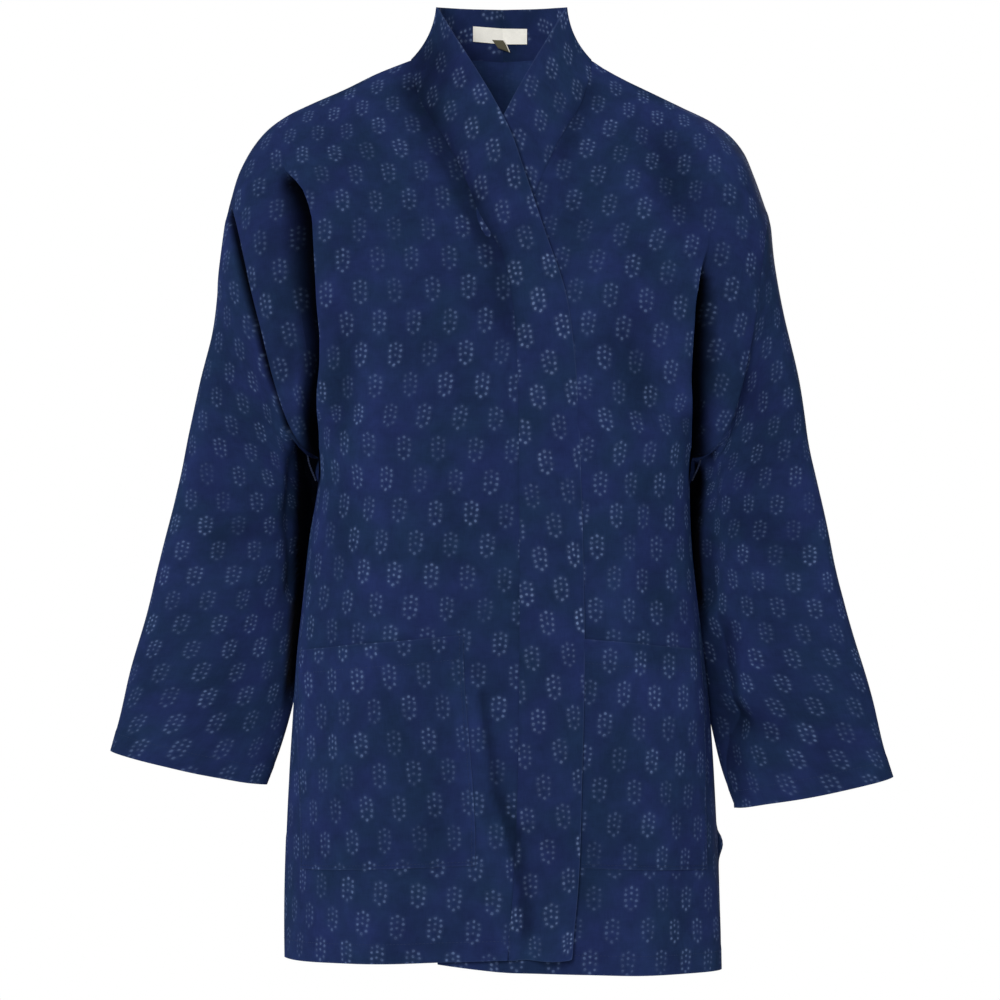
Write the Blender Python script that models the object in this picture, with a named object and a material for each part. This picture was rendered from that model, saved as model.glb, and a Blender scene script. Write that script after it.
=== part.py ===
"""Kimono jacket in indigo cotton, filled out as worn, its right front wrapped over its left.

Metres, +Z up, the front faces -Y and the wearer's right is -X. The origin is the middle of
the neck, level with the points where the shoulder seams meet the collar band.
"""

from typing import NamedTuple

import bmesh
import bpy
import numpy as np

CLOTH = 0.0016
BAND_CLOTH = 0.0026
LABEL_CLOTH = 0.0010
SEAM_GAP = 0.0003
LABEL_GAP = 0.0009

RIGHT = -1
LEFT = 1
FRONT = -1
BACK = 1

UNDERARM_Z = -0.345
VENT_TOP_Z = -0.735
VENT_OPEN = 0.007
RING_POWER = 2.4
ARMHOLE_FRONT_DEPTH = 0.083
ARMHOLE_BACK_DEPTH = 0.080
ARMHOLE_TOP_OUT = 0.97
ARMHOLE_TOP_UP = 0.24

# The front of each armhole seam bows out over the arm.
ARMHOLE_FRONT_BOW = {RIGHT: 0.012, LEFT: 0.017}
BOW_PEAK = 1.3
BOWED_RINGS = 5

# The collar sits a little closer to the neck on the wearer's left.
NECK_SHARE = {RIGHT: 1.0, LEFT: 0.96}
NECK_SHARE_TO_Z = -0.200

# The top front stands this far in front of the under one where they wrap.
WRAP_LIFT = 0.006
WRAP_LIFT_FROM_X = 0.165
WRAP_LIFT_TO_X = 0.085
WRAP_LIFT_FROM_Z = 0.010
WRAP_LIFT_TO_Z = -0.045

# The band bows out down the front and hollows in beside the neck.
BAND_CROWN = 0.003
NECK_SIDE_CROWN = -0.005
NECK_CROWN_TO_Z = -0.100

# The under front's free edge is tucked in behind the top one.
UNDER_TUCK = 0.007
UNDER_TUCK_FROM_Z = -0.070
UNDER_TUCK_TO_Z = -0.130

FRONT_HEM_Z = {RIGHT: -0.8420, LEFT: -0.8530}
BACK_HEM_Z = {RIGHT: -0.8420, LEFT: -0.8480}
HEM_SLANT = {RIGHT: 0.014, LEFT: 0.012}
UNDER_HEM_RISE = 0.006
POCKET_TOP_Z = -0.548
POCKET_BOTTOM_Z = -0.757
POCKET_SLANT = 0.028
POCKET_INNER_SHARE = 0.18
POCKET_OUTER_SHARE = 0.84
POCKET_LEAN_SHARE = 0.06

# Rows and columns of facets.
YOKE_ROWS = 14
CHEST_ROWS = 7
POCKET_ROWS = 6
HEM_ROWS = 3
INNER_COLUMNS = 2
POCKET_COLUMNS = 12
OUTER_COLUMNS = 3
NECK_COLUMNS = 6
SHOULDER_COLUMNS = 7
BAND_COLUMNS = 4
SLEEVE_ROWS = 20
LABEL_COLUMNS = 8
TAB_COLUMNS = 2
TAPE_ROWS = 2
SMOOTHING_PASSES = 2
CURVE_STEPS = 200
ARC_STEPS = 160
SHARP_ANGLE = 0.8

LABEL_FROM_X = -0.0300
LABEL_TO_X = 0.0240
LABEL_LOW_SHARE = 0.47
LABEL_HIGH_SHARE = 0.73
TAB_FROM_X = -0.0090
TAB_TO_X = 0.0060
TAB_LOW_SHARE = 0.26
TAB_HIGH_SHARE = 0.462

LOOP_TOP_Z = -0.358
LOOP_LOW_Z = -0.398
LOOP_GAP = 0.0014
LOOP_Y = -0.010
LOOP_BULGE = 0.0080
LOOP_RADIUS = 0.0012
LOOP_SIDES = 6
LOOP_STEPS = 12
LOOP_ROUNDING = 0.8


class Ring(NamedTuple):
    """Level section of the body: half widths on each side, depths before and behind."""

    z: float
    right_half: float
    left_half: float
    front_depth: float
    back_depth: float


RINGS = (
    Ring(-0.340, 0.1750, 0.1785, 0.131, 0.112),
    Ring(-0.370, 0.1740, 0.1770, 0.131, 0.112),
    Ring(-0.400, 0.1745, 0.1760, 0.131, 0.112),
    Ring(-0.450, 0.1830, 0.1780, 0.132, 0.113),
    Ring(-0.510, 0.1895, 0.1840, 0.133, 0.115),
    Ring(-0.560, 0.1950, 0.1900, 0.135, 0.118),
    Ring(-0.620, 0.1990, 0.1960, 0.137, 0.122),
    Ring(-0.700, 0.2020, 0.2005, 0.140, 0.127),
    Ring(-0.800, 0.2040, 0.2035, 0.143, 0.130),
    Ring(-0.865, 0.2045, 0.2045, 0.144, 0.131),
)


class FrontLine(NamedTuple):
    """Front band below the underarm, measured from the centre towards its own side."""

    z: float
    seam_x: float
    edge_x: float


FRONT_LINES = (
    FrontLine(-0.345, -0.0144, -0.0697),
    FrontLine(-0.470, -0.0150, -0.0731),
    FrontLine(-0.570, -0.0150, -0.0744),
    FrontLine(-0.680, -0.0135, -0.0721),
    FrontLine(-0.790, -0.0085, -0.0674),
    FrontLine(-0.865, -0.0020, -0.0580),
)


class CollarPlace(NamedTuple):
    """Sewn and free edge of the collar band above the underarm, x towards its own side."""

    seam_x: float
    seam_y: float
    seam_z: float
    edge_x: float
    edge_y: float
    edge_z: float


NECK_PLACES = (
    CollarPlace(0.0000, 0.0740, -0.0040, 0.0000, 0.0660, 0.0580),
    CollarPlace(0.0420, 0.0650, -0.0030, 0.0350, 0.0560, 0.0575),
    CollarPlace(0.0720, 0.0390, -0.0010, 0.0555, 0.0310, 0.0555),
    CollarPlace(0.0870, 0.0000, 0.0015, 0.0627, 0.0000, 0.0520),
)

FRONT_PLACES = (
    CollarPlace(0.0870, 0.0000, 0.0015, 0.0627, 0.0000, 0.0520),
    CollarPlace(0.0840, -0.0260, -0.0200, 0.0480, -0.0260, 0.0260),
    CollarPlace(0.0755, -0.0480, -0.0450, 0.0300, -0.0500, -0.0043),
    CollarPlace(0.0558, -0.0750, -0.0770, 0.0080, -0.0750, -0.0440),
    CollarPlace(0.0379, -0.0950, -0.1123, -0.0085, -0.0940, -0.0790),
    CollarPlace(0.0212, -0.1090, -0.1531, -0.0195, -0.1060, -0.1120),
    CollarPlace(0.0009, -0.1200, -0.1897, -0.0380, -0.1185, -0.1680),
    CollarPlace(-0.0083, -0.1265, -0.2321, -0.0577, -0.1295, -0.2276),
    CollarPlace(-0.0128, -0.1300, -0.2900, -0.0660, -0.1310, -0.2900),
)


class ShoulderPlace(NamedTuple):
    """Point of the shoulder seam on each side, x towards that side."""

    right_x: float
    right_z: float
    left_x: float
    left_z: float


SHOULDER = (
    ShoulderPlace(0.0870, 0.0015, 0.0835, 0.0015),
    ShoulderPlace(0.1020, -0.0042, 0.0965, -0.0070),
    ShoulderPlace(0.1170, -0.0102, 0.1120, -0.0155),
    ShoulderPlace(0.1520, -0.0272, 0.1415, -0.0298),
    ShoulderPlace(0.1815, -0.0400, 0.1710, -0.0440),
    ShoulderPlace(0.2064, -0.0523, 0.2000, -0.0585),
    ShoulderPlace(0.2242, -0.0656, 0.2162, -0.0710),
    ShoulderPlace(0.2375, -0.0817, 0.2280, -0.0855),
    ShoulderPlace(0.2489, -0.1026, 0.2380, -0.1083),
    ShoulderPlace(0.2607, -0.1416, 0.2518, -0.1470),
)


class BackPlace(NamedTuple):
    """Point of the centre-back seam."""

    y: float
    z: float


CENTRE_BACK = (
    BackPlace(0.0740, -0.0040),
    BackPlace(0.0960, -0.0550),
    BackPlace(0.1080, -0.1200),
    BackPlace(0.1130, -0.2000),
    BackPlace(0.1130, -0.2900),
    BackPlace(0.1120, -0.3450),
)


class SleeveRing(NamedTuple):
    """Oval section of a sleeve through its outermost and innermost points."""

    outer_x: float
    outer_y: float
    outer_z: float
    inner_x: float
    inner_y: float
    inner_z: float
    half_depth: float


SLEEVE_RINGS = {
    RIGHT: (
        SleeveRing(0.2680, -0.004, -0.190, 0.1760, 0.024, -0.365, 0.083),
        SleeveRing(0.2750, -0.012, -0.254, 0.1735, 0.046, -0.385, 0.081),
        SleeveRing(0.2860, -0.018, -0.305, 0.1715, 0.060, -0.405, 0.079),
        SleeveRing(0.2972, -0.020, -0.358, 0.1710, 0.068, -0.430, 0.076),
        SleeveRing(0.3092, -0.020, -0.416, 0.1735, 0.070, -0.465, 0.071),
        SleeveRing(0.3220, -0.020, -0.467, 0.1825, 0.066, -0.505, 0.066),
        SleeveRing(0.3355, -0.020, -0.526, 0.1930, 0.054, -0.558, 0.062),
        SleeveRing(0.3496, -0.020, -0.577, 0.2025, 0.028, -0.607, 0.058),
        SleeveRing(0.3600, -0.020, -0.622, 0.2140, 0.006, -0.652, 0.055),
        SleeveRing(0.3690, -0.020, -0.653, 0.2250, -0.010, -0.685, 0.053),
    ),
    LEFT: (
        SleeveRing(0.2565, -0.004, -0.190, 0.1785, 0.024, -0.365, 0.083),
        SleeveRing(0.2640, -0.012, -0.239, 0.1755, 0.046, -0.385, 0.081),
        SleeveRing(0.2785, -0.018, -0.305, 0.1735, 0.060, -0.405, 0.079),
        SleeveRing(0.2880, -0.020, -0.365, 0.1720, 0.068, -0.432, 0.076),
        SleeveRing(0.3018, -0.020, -0.425, 0.1735, 0.070, -0.470, 0.071),
        SleeveRing(0.3150, -0.020, -0.485, 0.1775, 0.066, -0.517, 0.066),
        SleeveRing(0.3300, -0.020, -0.545, 0.1860, 0.054, -0.577, 0.062),
        SleeveRing(0.3460, -0.020, -0.600, 0.2000, 0.028, -0.630, 0.058),
        SleeveRing(0.3585, -0.020, -0.648, 0.2100, 0.006, -0.676, 0.055),
        SleeveRing(0.3686, -0.020, -0.677, 0.2195, -0.010, -0.707, 0.053),
    ),
}


class Fold(NamedTuple):
    """Soft trough in a panel, from one point to another as seen from its face."""

    from_x: float
    from_z: float
    to_x: float
    to_z: float
    depth: float
    width: float


FOLDS = {
    "front_right": (
        Fold(-0.206, -0.105, -0.186, -0.165, 0.014, 0.018),
        Fold(-0.186, -0.165, -0.177, -0.290, 0.028, 0.019),
        Fold(-0.177, -0.290, -0.175, -0.335, 0.018, 0.016),
        Fold(-0.040, -0.640, -0.022, -0.840, -0.006, 0.020),
    ),
    "front_left": (
        Fold(0.192, -0.165, 0.186, -0.230, 0.014, 0.018),
        Fold(0.186, -0.230, 0.180, -0.335, 0.024, 0.018),
    ),
    "back_right": (
        Fold(-0.200, -0.140, -0.182, -0.310, 0.016, 0.022),
        Fold(-0.080, -0.480, -0.095, -0.842, 0.006, 0.028),
    ),
    "back_left": (
        Fold(0.196, -0.150, 0.182, -0.315, 0.015, 0.022),
        Fold(0.060, -0.560, 0.085, -0.848, 0.007, 0.030),
    ),
    "sleeve_right": (
        Fold(-0.268, -0.235, -0.256, -0.310, 0.006, 0.018),
        Fold(-0.232, -0.390, -0.262, -0.470, 0.006, 0.022),
        Fold(-0.188, -0.365, -0.192, -0.500, 0.020, 0.012),
    ),
    "sleeve_left": (
        Fold(0.246, -0.330, 0.226, -0.420, 0.007, 0.022),
        Fold(0.214, -0.620, 0.256, -0.634, 0.006, 0.022),
        Fold(0.188, -0.365, 0.190, -0.510, 0.018, 0.012),
    ),
}


class Finish(NamedTuple):
    """Plain colour and gloss of one sub-part."""

    red: float
    green: float
    blue: float
    roughness: float


INDIGO = Finish(0.0130, 0.0270, 0.0840, 0.86)
INDIGO_BAND = Finish(0.0160, 0.0310, 0.0930, 0.86)
CREAM = Finish(0.7600, 0.7000, 0.5800, 0.70)
OLIVE = Finish(0.0800, 0.0720, 0.0400, 0.75)
INDIGO_CORD = Finish(0.0090, 0.0150, 0.0400, 0.80)


def clear_scene():
    """Remove every object."""
    for thing in list(bpy.data.objects):
        bpy.data.objects.remove(thing, do_unlink=True)


def smooth_through(knots, rows, at):
    """Smooth curve through table rows at their knots, read at new places."""
    knots = np.asarray(knots, float)
    rows = np.asarray(rows, float)
    at = np.clip(np.asarray(at, float), knots[0], knots[-1])
    slopes = np.gradient(rows, knots, axis=0)
    step = np.clip(np.searchsorted(knots, at, side="right") - 1, 0, len(knots) - 2)
    span = knots[step + 1] - knots[step]
    share = (at - knots[step]) / span
    if rows.ndim > 1:
        span = span[:, None]
        share = share[:, None]
    start = rows[step] * (1 + 2 * share) * (1 - share) ** 2 + slopes[step] * span * share * (1 - share) ** 2
    end = rows[step + 1] * share**2 * (3 - 2 * share) - slopes[step + 1] * span * share**2 * (1 - share)
    return start + end


def column(rows, name, z):
    """One named column of a table whose rows go down in z, read at heights z."""
    down = [-row.z for row in rows]
    return smooth_through(down, [getattr(row, name) for row in rows], -np.atleast_1d(z))


def spread(points, shares):
    """Points at shares of a polyline's length."""
    lengths = np.linalg.norm(np.diff(points, axis=0), axis=1)
    reach = np.concatenate([[0.0], np.cumsum(lengths)])
    at = np.asarray(shares) * reach[-1]
    return np.column_stack([np.interp(at, reach, points[:, axis]) for axis in range(3)])


def through(points, shares):
    """Smooth curve through a few points, read at shares of its length."""
    points = np.asarray(points, float)
    lengths = np.linalg.norm(np.diff(points, axis=0), axis=1)
    knots = np.concatenate([[0.0], np.cumsum(lengths)])
    dense = smooth_through(knots, points, np.linspace(0.0, knots[-1], CURVE_STEPS))
    return spread(dense, shares)


def ease(value, start, end):
    """Smooth step from 0 at start to 1 at end."""
    share = np.clip((np.asarray(value, float) - start) / (end - start), 0.0, 1.0)
    return share * share * (3.0 - 2.0 * share)


def unit(vectors):
    """Vectors of length one."""
    return vectors / np.maximum(np.linalg.norm(vectors, axis=-1, keepdims=True), 1e-12)


def wrap_lift(side, out_x, z):
    """How far the top front stands out, from its own side to the wrap."""
    if side == LEFT:
        return np.zeros_like(np.asarray(out_x, float))
    across = ease(-np.asarray(out_x, float), -WRAP_LIFT_FROM_X, -WRAP_LIFT_TO_X)
    return WRAP_LIFT * across * ease(-np.asarray(z, float), -WRAP_LIFT_FROM_Z, -WRAP_LIFT_TO_Z)


def under_tuck(z):
    """How far the under front's free edge lies behind its own surface."""
    return UNDER_TUCK * ease(-np.asarray(z, float), -UNDER_TUCK_FROM_Z, -UNDER_TUCK_TO_Z)


def ring_arc(side, face, z, start_x):
    """Dense level arc of the body from start_x round to the side seam."""
    own = column(RINGS, "right_half" if side == RIGHT else "left_half", z)[0]
    other = column(RINGS, "left_half" if side == RIGHT else "right_half", z)[0]
    depth = column(RINGS, "front_depth" if face == FRONT else "back_depth", z)[0]
    half = own if start_x >= 0 else other
    start = np.sign(start_x) * np.arcsin(min(1.0, abs(start_x) / half) ** (RING_POWER / 2))
    turn = np.linspace(start, np.pi / 2, ARC_STEPS)
    reach = np.where(np.sin(turn) >= 0, own, other)
    out_x = reach * np.sign(np.sin(turn)) * np.abs(np.sin(turn)) ** (2 / RING_POWER)
    y = face * depth * np.abs(np.cos(turn)) ** (2 / RING_POWER)
    if face == FRONT:
        y = y - wrap_lift(side, out_x, np.full_like(out_x, z))
    return np.column_stack([side * out_x, y, np.full_like(out_x, z)])


def neck_curve(side, edge, shares):
    """Collar line from the centre back to the shoulder seam, at its sewn or free edge."""
    points = [place[3:] if edge else place[:3] for place in NECK_PLACES]
    return through(points, shares) * (side * NECK_SHARE[side], 1, 1)


def front_curve(side, edge, shares):
    """Collar line from the shoulder seam down to the underarm level."""
    line = FRONT_LINES[0]
    last = ring_arc(LEFT, FRONT, line.z, line.edge_x if edge else line.seam_x)[0]
    points = [place[3:] if edge else place[:3] for place in FRONT_PLACES] + [tuple(last)]
    curve = through(points, shares)
    curve[:, 0] *= 1.0 - (1.0 - NECK_SHARE[side]) * ease(curve[:, 2], NECK_SHARE_TO_Z, FRONT_PLACES[0].seam_z)
    curve[:, 1] -= wrap_lift(side, curve[:, 0], curve[:, 2])
    if edge and side == LEFT:
        curve[:, 1] += under_tuck(curve[:, 2])
    return curve * (side, 1, 1)


def shoulder_curve(side, shares):
    """Shoulder seam from the neck to the top of the sleeve."""
    if side == RIGHT:
        points = [(place.right_x, 0.0, place.right_z) for place in SHOULDER]
    else:
        points = [(place.left_x, 0.0, place.left_z) for place in SHOULDER]
    return through(points, shares) * (side, 1, 1)


def underarm(side):
    """Point where the armhole meets the side seam."""
    return ring_arc(side, FRONT, UNDERARM_Z, 0.0)[-1]


def bow_share(along, across):
    """Share of the armhole's bow round the sleeve: none at the shoulder or behind, most low in front."""
    return np.where(across >= 0, across * (1 - along) / BOW_PEAK, 0.0)


def armhole(side, turns):
    """Armhole seam: points, and directions out of the cloth and along it away from the body.

    A turn of 0 is the shoulder, a quarter is the front and a half is the underarm.
    """
    turns = np.asarray(turns, float)
    top = shoulder_curve(side, [1.0])[0]
    low = underarm(side)
    along = np.cos(2 * np.pi * turns)[:, None]
    across = np.sin(2 * np.pi * turns)[:, None]
    depth = np.where(across >= 0, ARMHOLE_FRONT_DEPTH, ARMHOLE_BACK_DEPTH)
    forward = np.array([0.0, -1.0, 0.0])
    sideways = np.array([side * ARMHOLE_FRONT_BOW[side], 0.0, 0.0])
    points = (top + low) / 2 + (top - low) / 2 * along + depth * across * forward
    points = points + bow_share(along, across) * sideways
    at_top = np.array([side * ARMHOLE_TOP_OUT, 0.0, ARMHOLE_TOP_UP])
    at_low = np.array([0.0, 0.0, 1.0])
    outward = unit(np.where(along >= 0, along * at_top, along * at_low) - across * np.array([0.0, 1.0, 0.0]))
    bow_turn = np.where(across >= 0, (1 + along - 2 * along**2) / BOW_PEAK, 0.0)
    tangent = (low - top) / 2 * across + depth * along * forward + bow_turn * sideways
    away = unit(np.cross(tangent, outward)) * -side
    return points, outward, away


def patch(top, bottom, inner, outer):
    """Sheet of points filled in between its four edges."""
    down = np.linspace(0.0, 1.0, len(inner))[:, None, None]
    over = np.linspace(0.0, 1.0, len(top))[None, :, None]
    rows = (1 - down) * top[None] + down * bottom[None]
    columns = (1 - over) * inner[:, None] + over * outer[:, None]
    corners = (
        (1 - down) * (1 - over) * top[0]
        + (1 - down) * over * top[-1]
        + down * (1 - over) * bottom[0]
        + down * over * bottom[-1]
    )
    return rows + columns - corners


def front_columns(z):
    """Shares across a front at a height, with lines on the pocket's two sides."""
    lean = POCKET_LEAN_SHARE * ease(-z, -POCKET_TOP_Z, -POCKET_BOTTOM_Z)
    inner = POCKET_INNER_SHARE - lean
    outer = POCKET_OUTER_SHARE - lean
    return np.concatenate(
        [
            np.linspace(0.0, inner, INNER_COLUMNS + 1)[:-1],
            np.linspace(inner, outer, POCKET_COLUMNS + 1)[:-1],
            np.linspace(outer, 1.0, OUTER_COLUMNS + 1),
        ]
    )


def lower_heights(hem_z):
    """Heights of the rows below the underarm, with lines on the pocket's top and bottom."""
    return np.concatenate(
        [
            np.linspace(UNDERARM_Z, POCKET_TOP_Z, CHEST_ROWS + 1)[1:],
            np.linspace(POCKET_TOP_Z, POCKET_BOTTOM_Z, POCKET_ROWS + 1)[1:],
            np.linspace(POCKET_BOTTOM_Z, hem_z, HEM_ROWS + 1)[1:],
        ]
    )


def slant(side, z):
    """How much lower a front's row lies at the side than at the band, most at the pocket's mouth."""
    above = ease(-z, -UNDERARM_Z, -POCKET_TOP_Z)
    below = ease(-z, -POCKET_TOP_Z, -FRONT_HEM_Z[side])
    return POCKET_SLANT * above * (1.0 - below) + HEM_SLANT[side] * below


def level_row(side, face, z, start_x, shares, drop):
    """One row of a panel below the underarm, lower by drop at its outer end."""
    heights = [z + drop * (0.5 - share) for share in shares]
    arcs = [ring_arc(side, face, height, start_x) for height in heights]
    return np.array([spread(arc, [share])[0] for arc, share in zip(arcs, shares)])


def settle(grid, passes):
    """Even out the rows of a sheet, with its edges kept."""
    for _ in range(passes):
        inside = grid[:-2, 1:-1] + 2 * grid[1:-1, 1:-1] + grid[2:, 1:-1]
        grid[1:-1, 1:-1] = inside / 4
    return grid


def front_sheet(side):
    """Middle surface of a front, from its band seam to the armhole and side seam."""
    shares = front_columns(UNDERARM_Z)
    steps = np.linspace(0.0, 1.0, YOKE_ROWS + 1)
    yoke = patch(
        shoulder_curve(side, shares),
        spread(ring_arc(side, FRONT, UNDERARM_Z, FRONT_LINES[0].seam_x), shares),
        front_curve(side, False, steps),
        armhole(side, steps / 2)[0],
    )
    heights = lower_heights(FRONT_HEM_Z[side])
    places = zip(heights, column(FRONT_LINES, "seam_x", heights))
    rows = [level_row(side, FRONT, z, seam, front_columns(z), slant(side, z)) for z, seam in places]
    return settle(np.concatenate([yoke, np.array(rows)]), SMOOTHING_PASSES)


def back_sheet(side):
    """Middle surface of half the back, from the centre seam to the armhole and side seam."""
    count = NECK_COLUMNS + SHOULDER_COLUMNS
    shares = np.linspace(0.0, 1.0, count + 1)
    steps = np.linspace(0.0, 1.0, YOKE_ROWS + 1)
    neck = neck_curve(side, False, np.linspace(0.0, 1.0, NECK_COLUMNS + 1))
    shoulder = shoulder_curve(side, np.linspace(0.0, 1.0, SHOULDER_COLUMNS + 1))
    yoke = patch(
        np.concatenate([neck, shoulder[1:]]),
        spread(ring_arc(side, BACK, UNDERARM_Z, 0.0), shares),
        through([(0.0, place.y, place.z) for place in CENTRE_BACK], steps),
        armhole(side, -steps / 2)[0],
    )
    heights = lower_heights(BACK_HEM_Z[side])
    rows = [level_row(side, BACK, z, 0.0, shares, 0.0) for z in heights]
    return settle(np.concatenate([yoke, np.array(rows)]), SMOOTHING_PASSES)


def band_sheet(side):
    """Middle surface of half the band, from the centre back round the neck and down to the hem."""
    neck = np.linspace(0.0, 1.0, NECK_COLUMNS + 1)
    steps = np.linspace(0.0, 1.0, YOKE_ROWS + 1)
    heights = lower_heights(FRONT_HEM_Z[side])
    lines = []
    for edge, name in ((False, "seam_x"), (True, "edge_x")):
        places = zip(heights + slant(side, heights) * 0.5, column(FRONT_LINES, name, heights))
        low = np.array([ring_arc(side, FRONT, z, x)[0] for z, x in places])
        if edge and side == LEFT:
            low[:, 1] += UNDER_TUCK
            low[:, 2] += UNDER_HEM_RISE * ease(-heights, -POCKET_BOTTOM_Z, -FRONT_HEM_Z[side])
        upper = front_curve(side, edge, steps)
        lines.append(np.concatenate([neck_curve(side, edge, neck), upper[1:], low]))
    over = np.linspace(0.0, 1.0, BAND_COLUMNS + 1)[None, :, None]
    sheet = lines[0][:, None] * (1 - over) + lines[1][:, None] * over
    down_front = ease(-lines[0][NECK_COLUMNS + 1 :, 2], 0.0, -NECK_CROWN_TO_Z)
    front_crown = NECK_SIDE_CROWN + (BAND_CROWN - NECK_SIDE_CROWN) * down_front
    crown = np.concatenate([NECK_SIDE_CROWN * neck, front_crown])
    return sheet + crown[:, None, None] * 4 * over * (1 - over) * sheet_normals(sheet)


def sleeve_sheet(side):
    """Middle surface of a sleeve, ring by ring from the armhole to the cuff."""
    turns = np.arange(2 * YOKE_ROWS) / (2 * YOKE_ROWS)
    along = np.cos(2 * np.pi * turns)[:, None]
    across = np.sin(2 * np.pi * turns)[:, None]
    rings = [armhole(side, turns)[0]]
    for count, ring in enumerate(SLEEVE_RINGS[side], start=1):
        outer = np.array([side * ring.outer_x, ring.outer_y, ring.outer_z])
        inner = np.array([side * ring.inner_x, ring.inner_y, ring.inner_z])
        oval = (outer + inner) / 2 + (outer - inner) / 2 * along
        oval = oval + across * np.array([0.0, -ring.half_depth, 0.0])
        bow = side * ARMHOLE_FRONT_BOW[side] * max(0.0, 1.0 - count / BOWED_RINGS)
        rings.append(oval + bow_share(along, across) * np.array([bow, 0.0, 0.0]))
    rings = np.array(rings)
    drop = np.linalg.norm(np.diff(rings.mean(axis=1), axis=0), axis=1)
    knots = np.concatenate([[0.0], np.cumsum(drop)])
    places = np.linspace(0.0, knots[-1], SLEEVE_ROWS + 1)
    flat = smooth_through(knots, rings.reshape(len(rings), -1), places)
    return flat.reshape(len(places), len(turns), 3)


def sheet_normals(grid, closed=False):
    """Directions out of the cloth, away from the upright axis or the ring's middle."""
    down = np.gradient(grid, axis=0)
    if closed:
        over = np.roll(grid, -1, axis=1) - np.roll(grid, 1, axis=1)
        middle = grid.mean(axis=1, keepdims=True)
    else:
        over = np.gradient(grid, axis=1)
        middle = grid * (0.0, 0.0, 1.0)
    normals = unit(np.cross(over, down))
    turned = np.sum(normals * (grid - middle)) < 0
    return -normals if turned else normals


def fold_in(name, grid, closed=False):
    """Press a piece's named folds into its sheet, fading out at its sewn edges."""
    normals = sheet_normals(grid, closed)
    face = BACK if name.startswith("back") else FRONT
    facing = np.clip(normals[..., 1] * face, 0.0, 1.0)
    press = np.zeros(grid.shape[:2])
    for fold in FOLDS.get(name, ()):
        start = np.array([fold.from_x, fold.from_z])
        run = np.array([fold.to_x, fold.to_z]) - start
        offset = grid[..., [0, 2]] - start
        share = np.clip(offset @ run / (run @ run), 0.0, 1.0)
        distance = np.linalg.norm(offset - share[..., None] * run, axis=-1)
        trough = fold.depth * np.exp(-((distance / fold.width) ** 2))
        press = np.where(np.abs(trough) > np.abs(press), trough, press)
    press *= np.sqrt(facing)
    press[0] = 0.0
    if not closed:
        press[:, 0] = 0.0
        press[:, -1] = 0.0
    return grid - normals * press[..., None]


def wall(name, grid, normals, thickness, finish, closed=False):
    """Closed wall of cloth on both sides of a sheet of points."""
    rows, columns = grid.shape[:2]
    mesh = bpy.data.meshes.new(name)
    shape = bmesh.new()
    faces_out = [[shape.verts.new(point) for point in row] for row in grid + normals * thickness / 2]
    faces_in = [[shape.verts.new(point) for point in row] for row in grid - normals * thickness / 2]
    steps = columns if closed else columns - 1
    for row in range(rows - 1):
        for start in range(steps):
            end = (start + 1) % columns
            corners = ((row, start), (row, end), (row + 1, end), (row + 1, start))
            shape.faces.new([faces_out[r][c] for r, c in corners])
            shape.faces.new([faces_in[r][c] for r, c in reversed(corners)])
    loops = [[(0, c) for c in range(columns)], [(rows - 1, c) for c in range(columns)]]
    if closed:
        loops = [loop + loop[:1] for loop in loops]
    else:
        loops.append([(r, 0) for r in range(rows)])
        loops.append([(r, columns - 1) for r in range(rows)])
    for loop in loops:
        for (r1, c1), (r2, c2) in zip(loop[:-1], loop[1:]):
            rim = (faces_out[r1][c1], faces_out[r2][c2], faces_in[r2][c2], faces_in[r1][c1])
            shape.faces.new(rim)
    bmesh.ops.triangulate(shape, faces=shape.faces[:])
    bmesh.ops.recalc_face_normals(shape, faces=shape.faces[:])
    shape.to_mesh(mesh)
    shape.free()
    mesh.shade_smooth()
    mesh.set_sharp_from_angle(angle=SHARP_ANGLE)
    return add_object(name, mesh, finish)


def add_object(name, mesh, finish):
    """Put a mesh in the scene with a material of its own."""
    thing = bpy.data.objects.new(name, mesh)
    bpy.context.collection.objects.link(thing)
    material = bpy.data.materials.new(name + "_cloth")
    material.use_nodes = True
    shader = material.node_tree.nodes["Principled BSDF"]
    shader.inputs["Base Color"].default_value = (finish.red, finish.green, finish.blue, 1.0)
    shader.inputs["Roughness"].default_value = finish.roughness
    mesh.materials.append(material)
    return thing


def flatten_axis(vectors, axis):
    """Vectors turned into the plane across an axis."""
    flat = vectors.copy()
    flat[..., axis] = 0.0
    return unit(flat)


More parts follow.
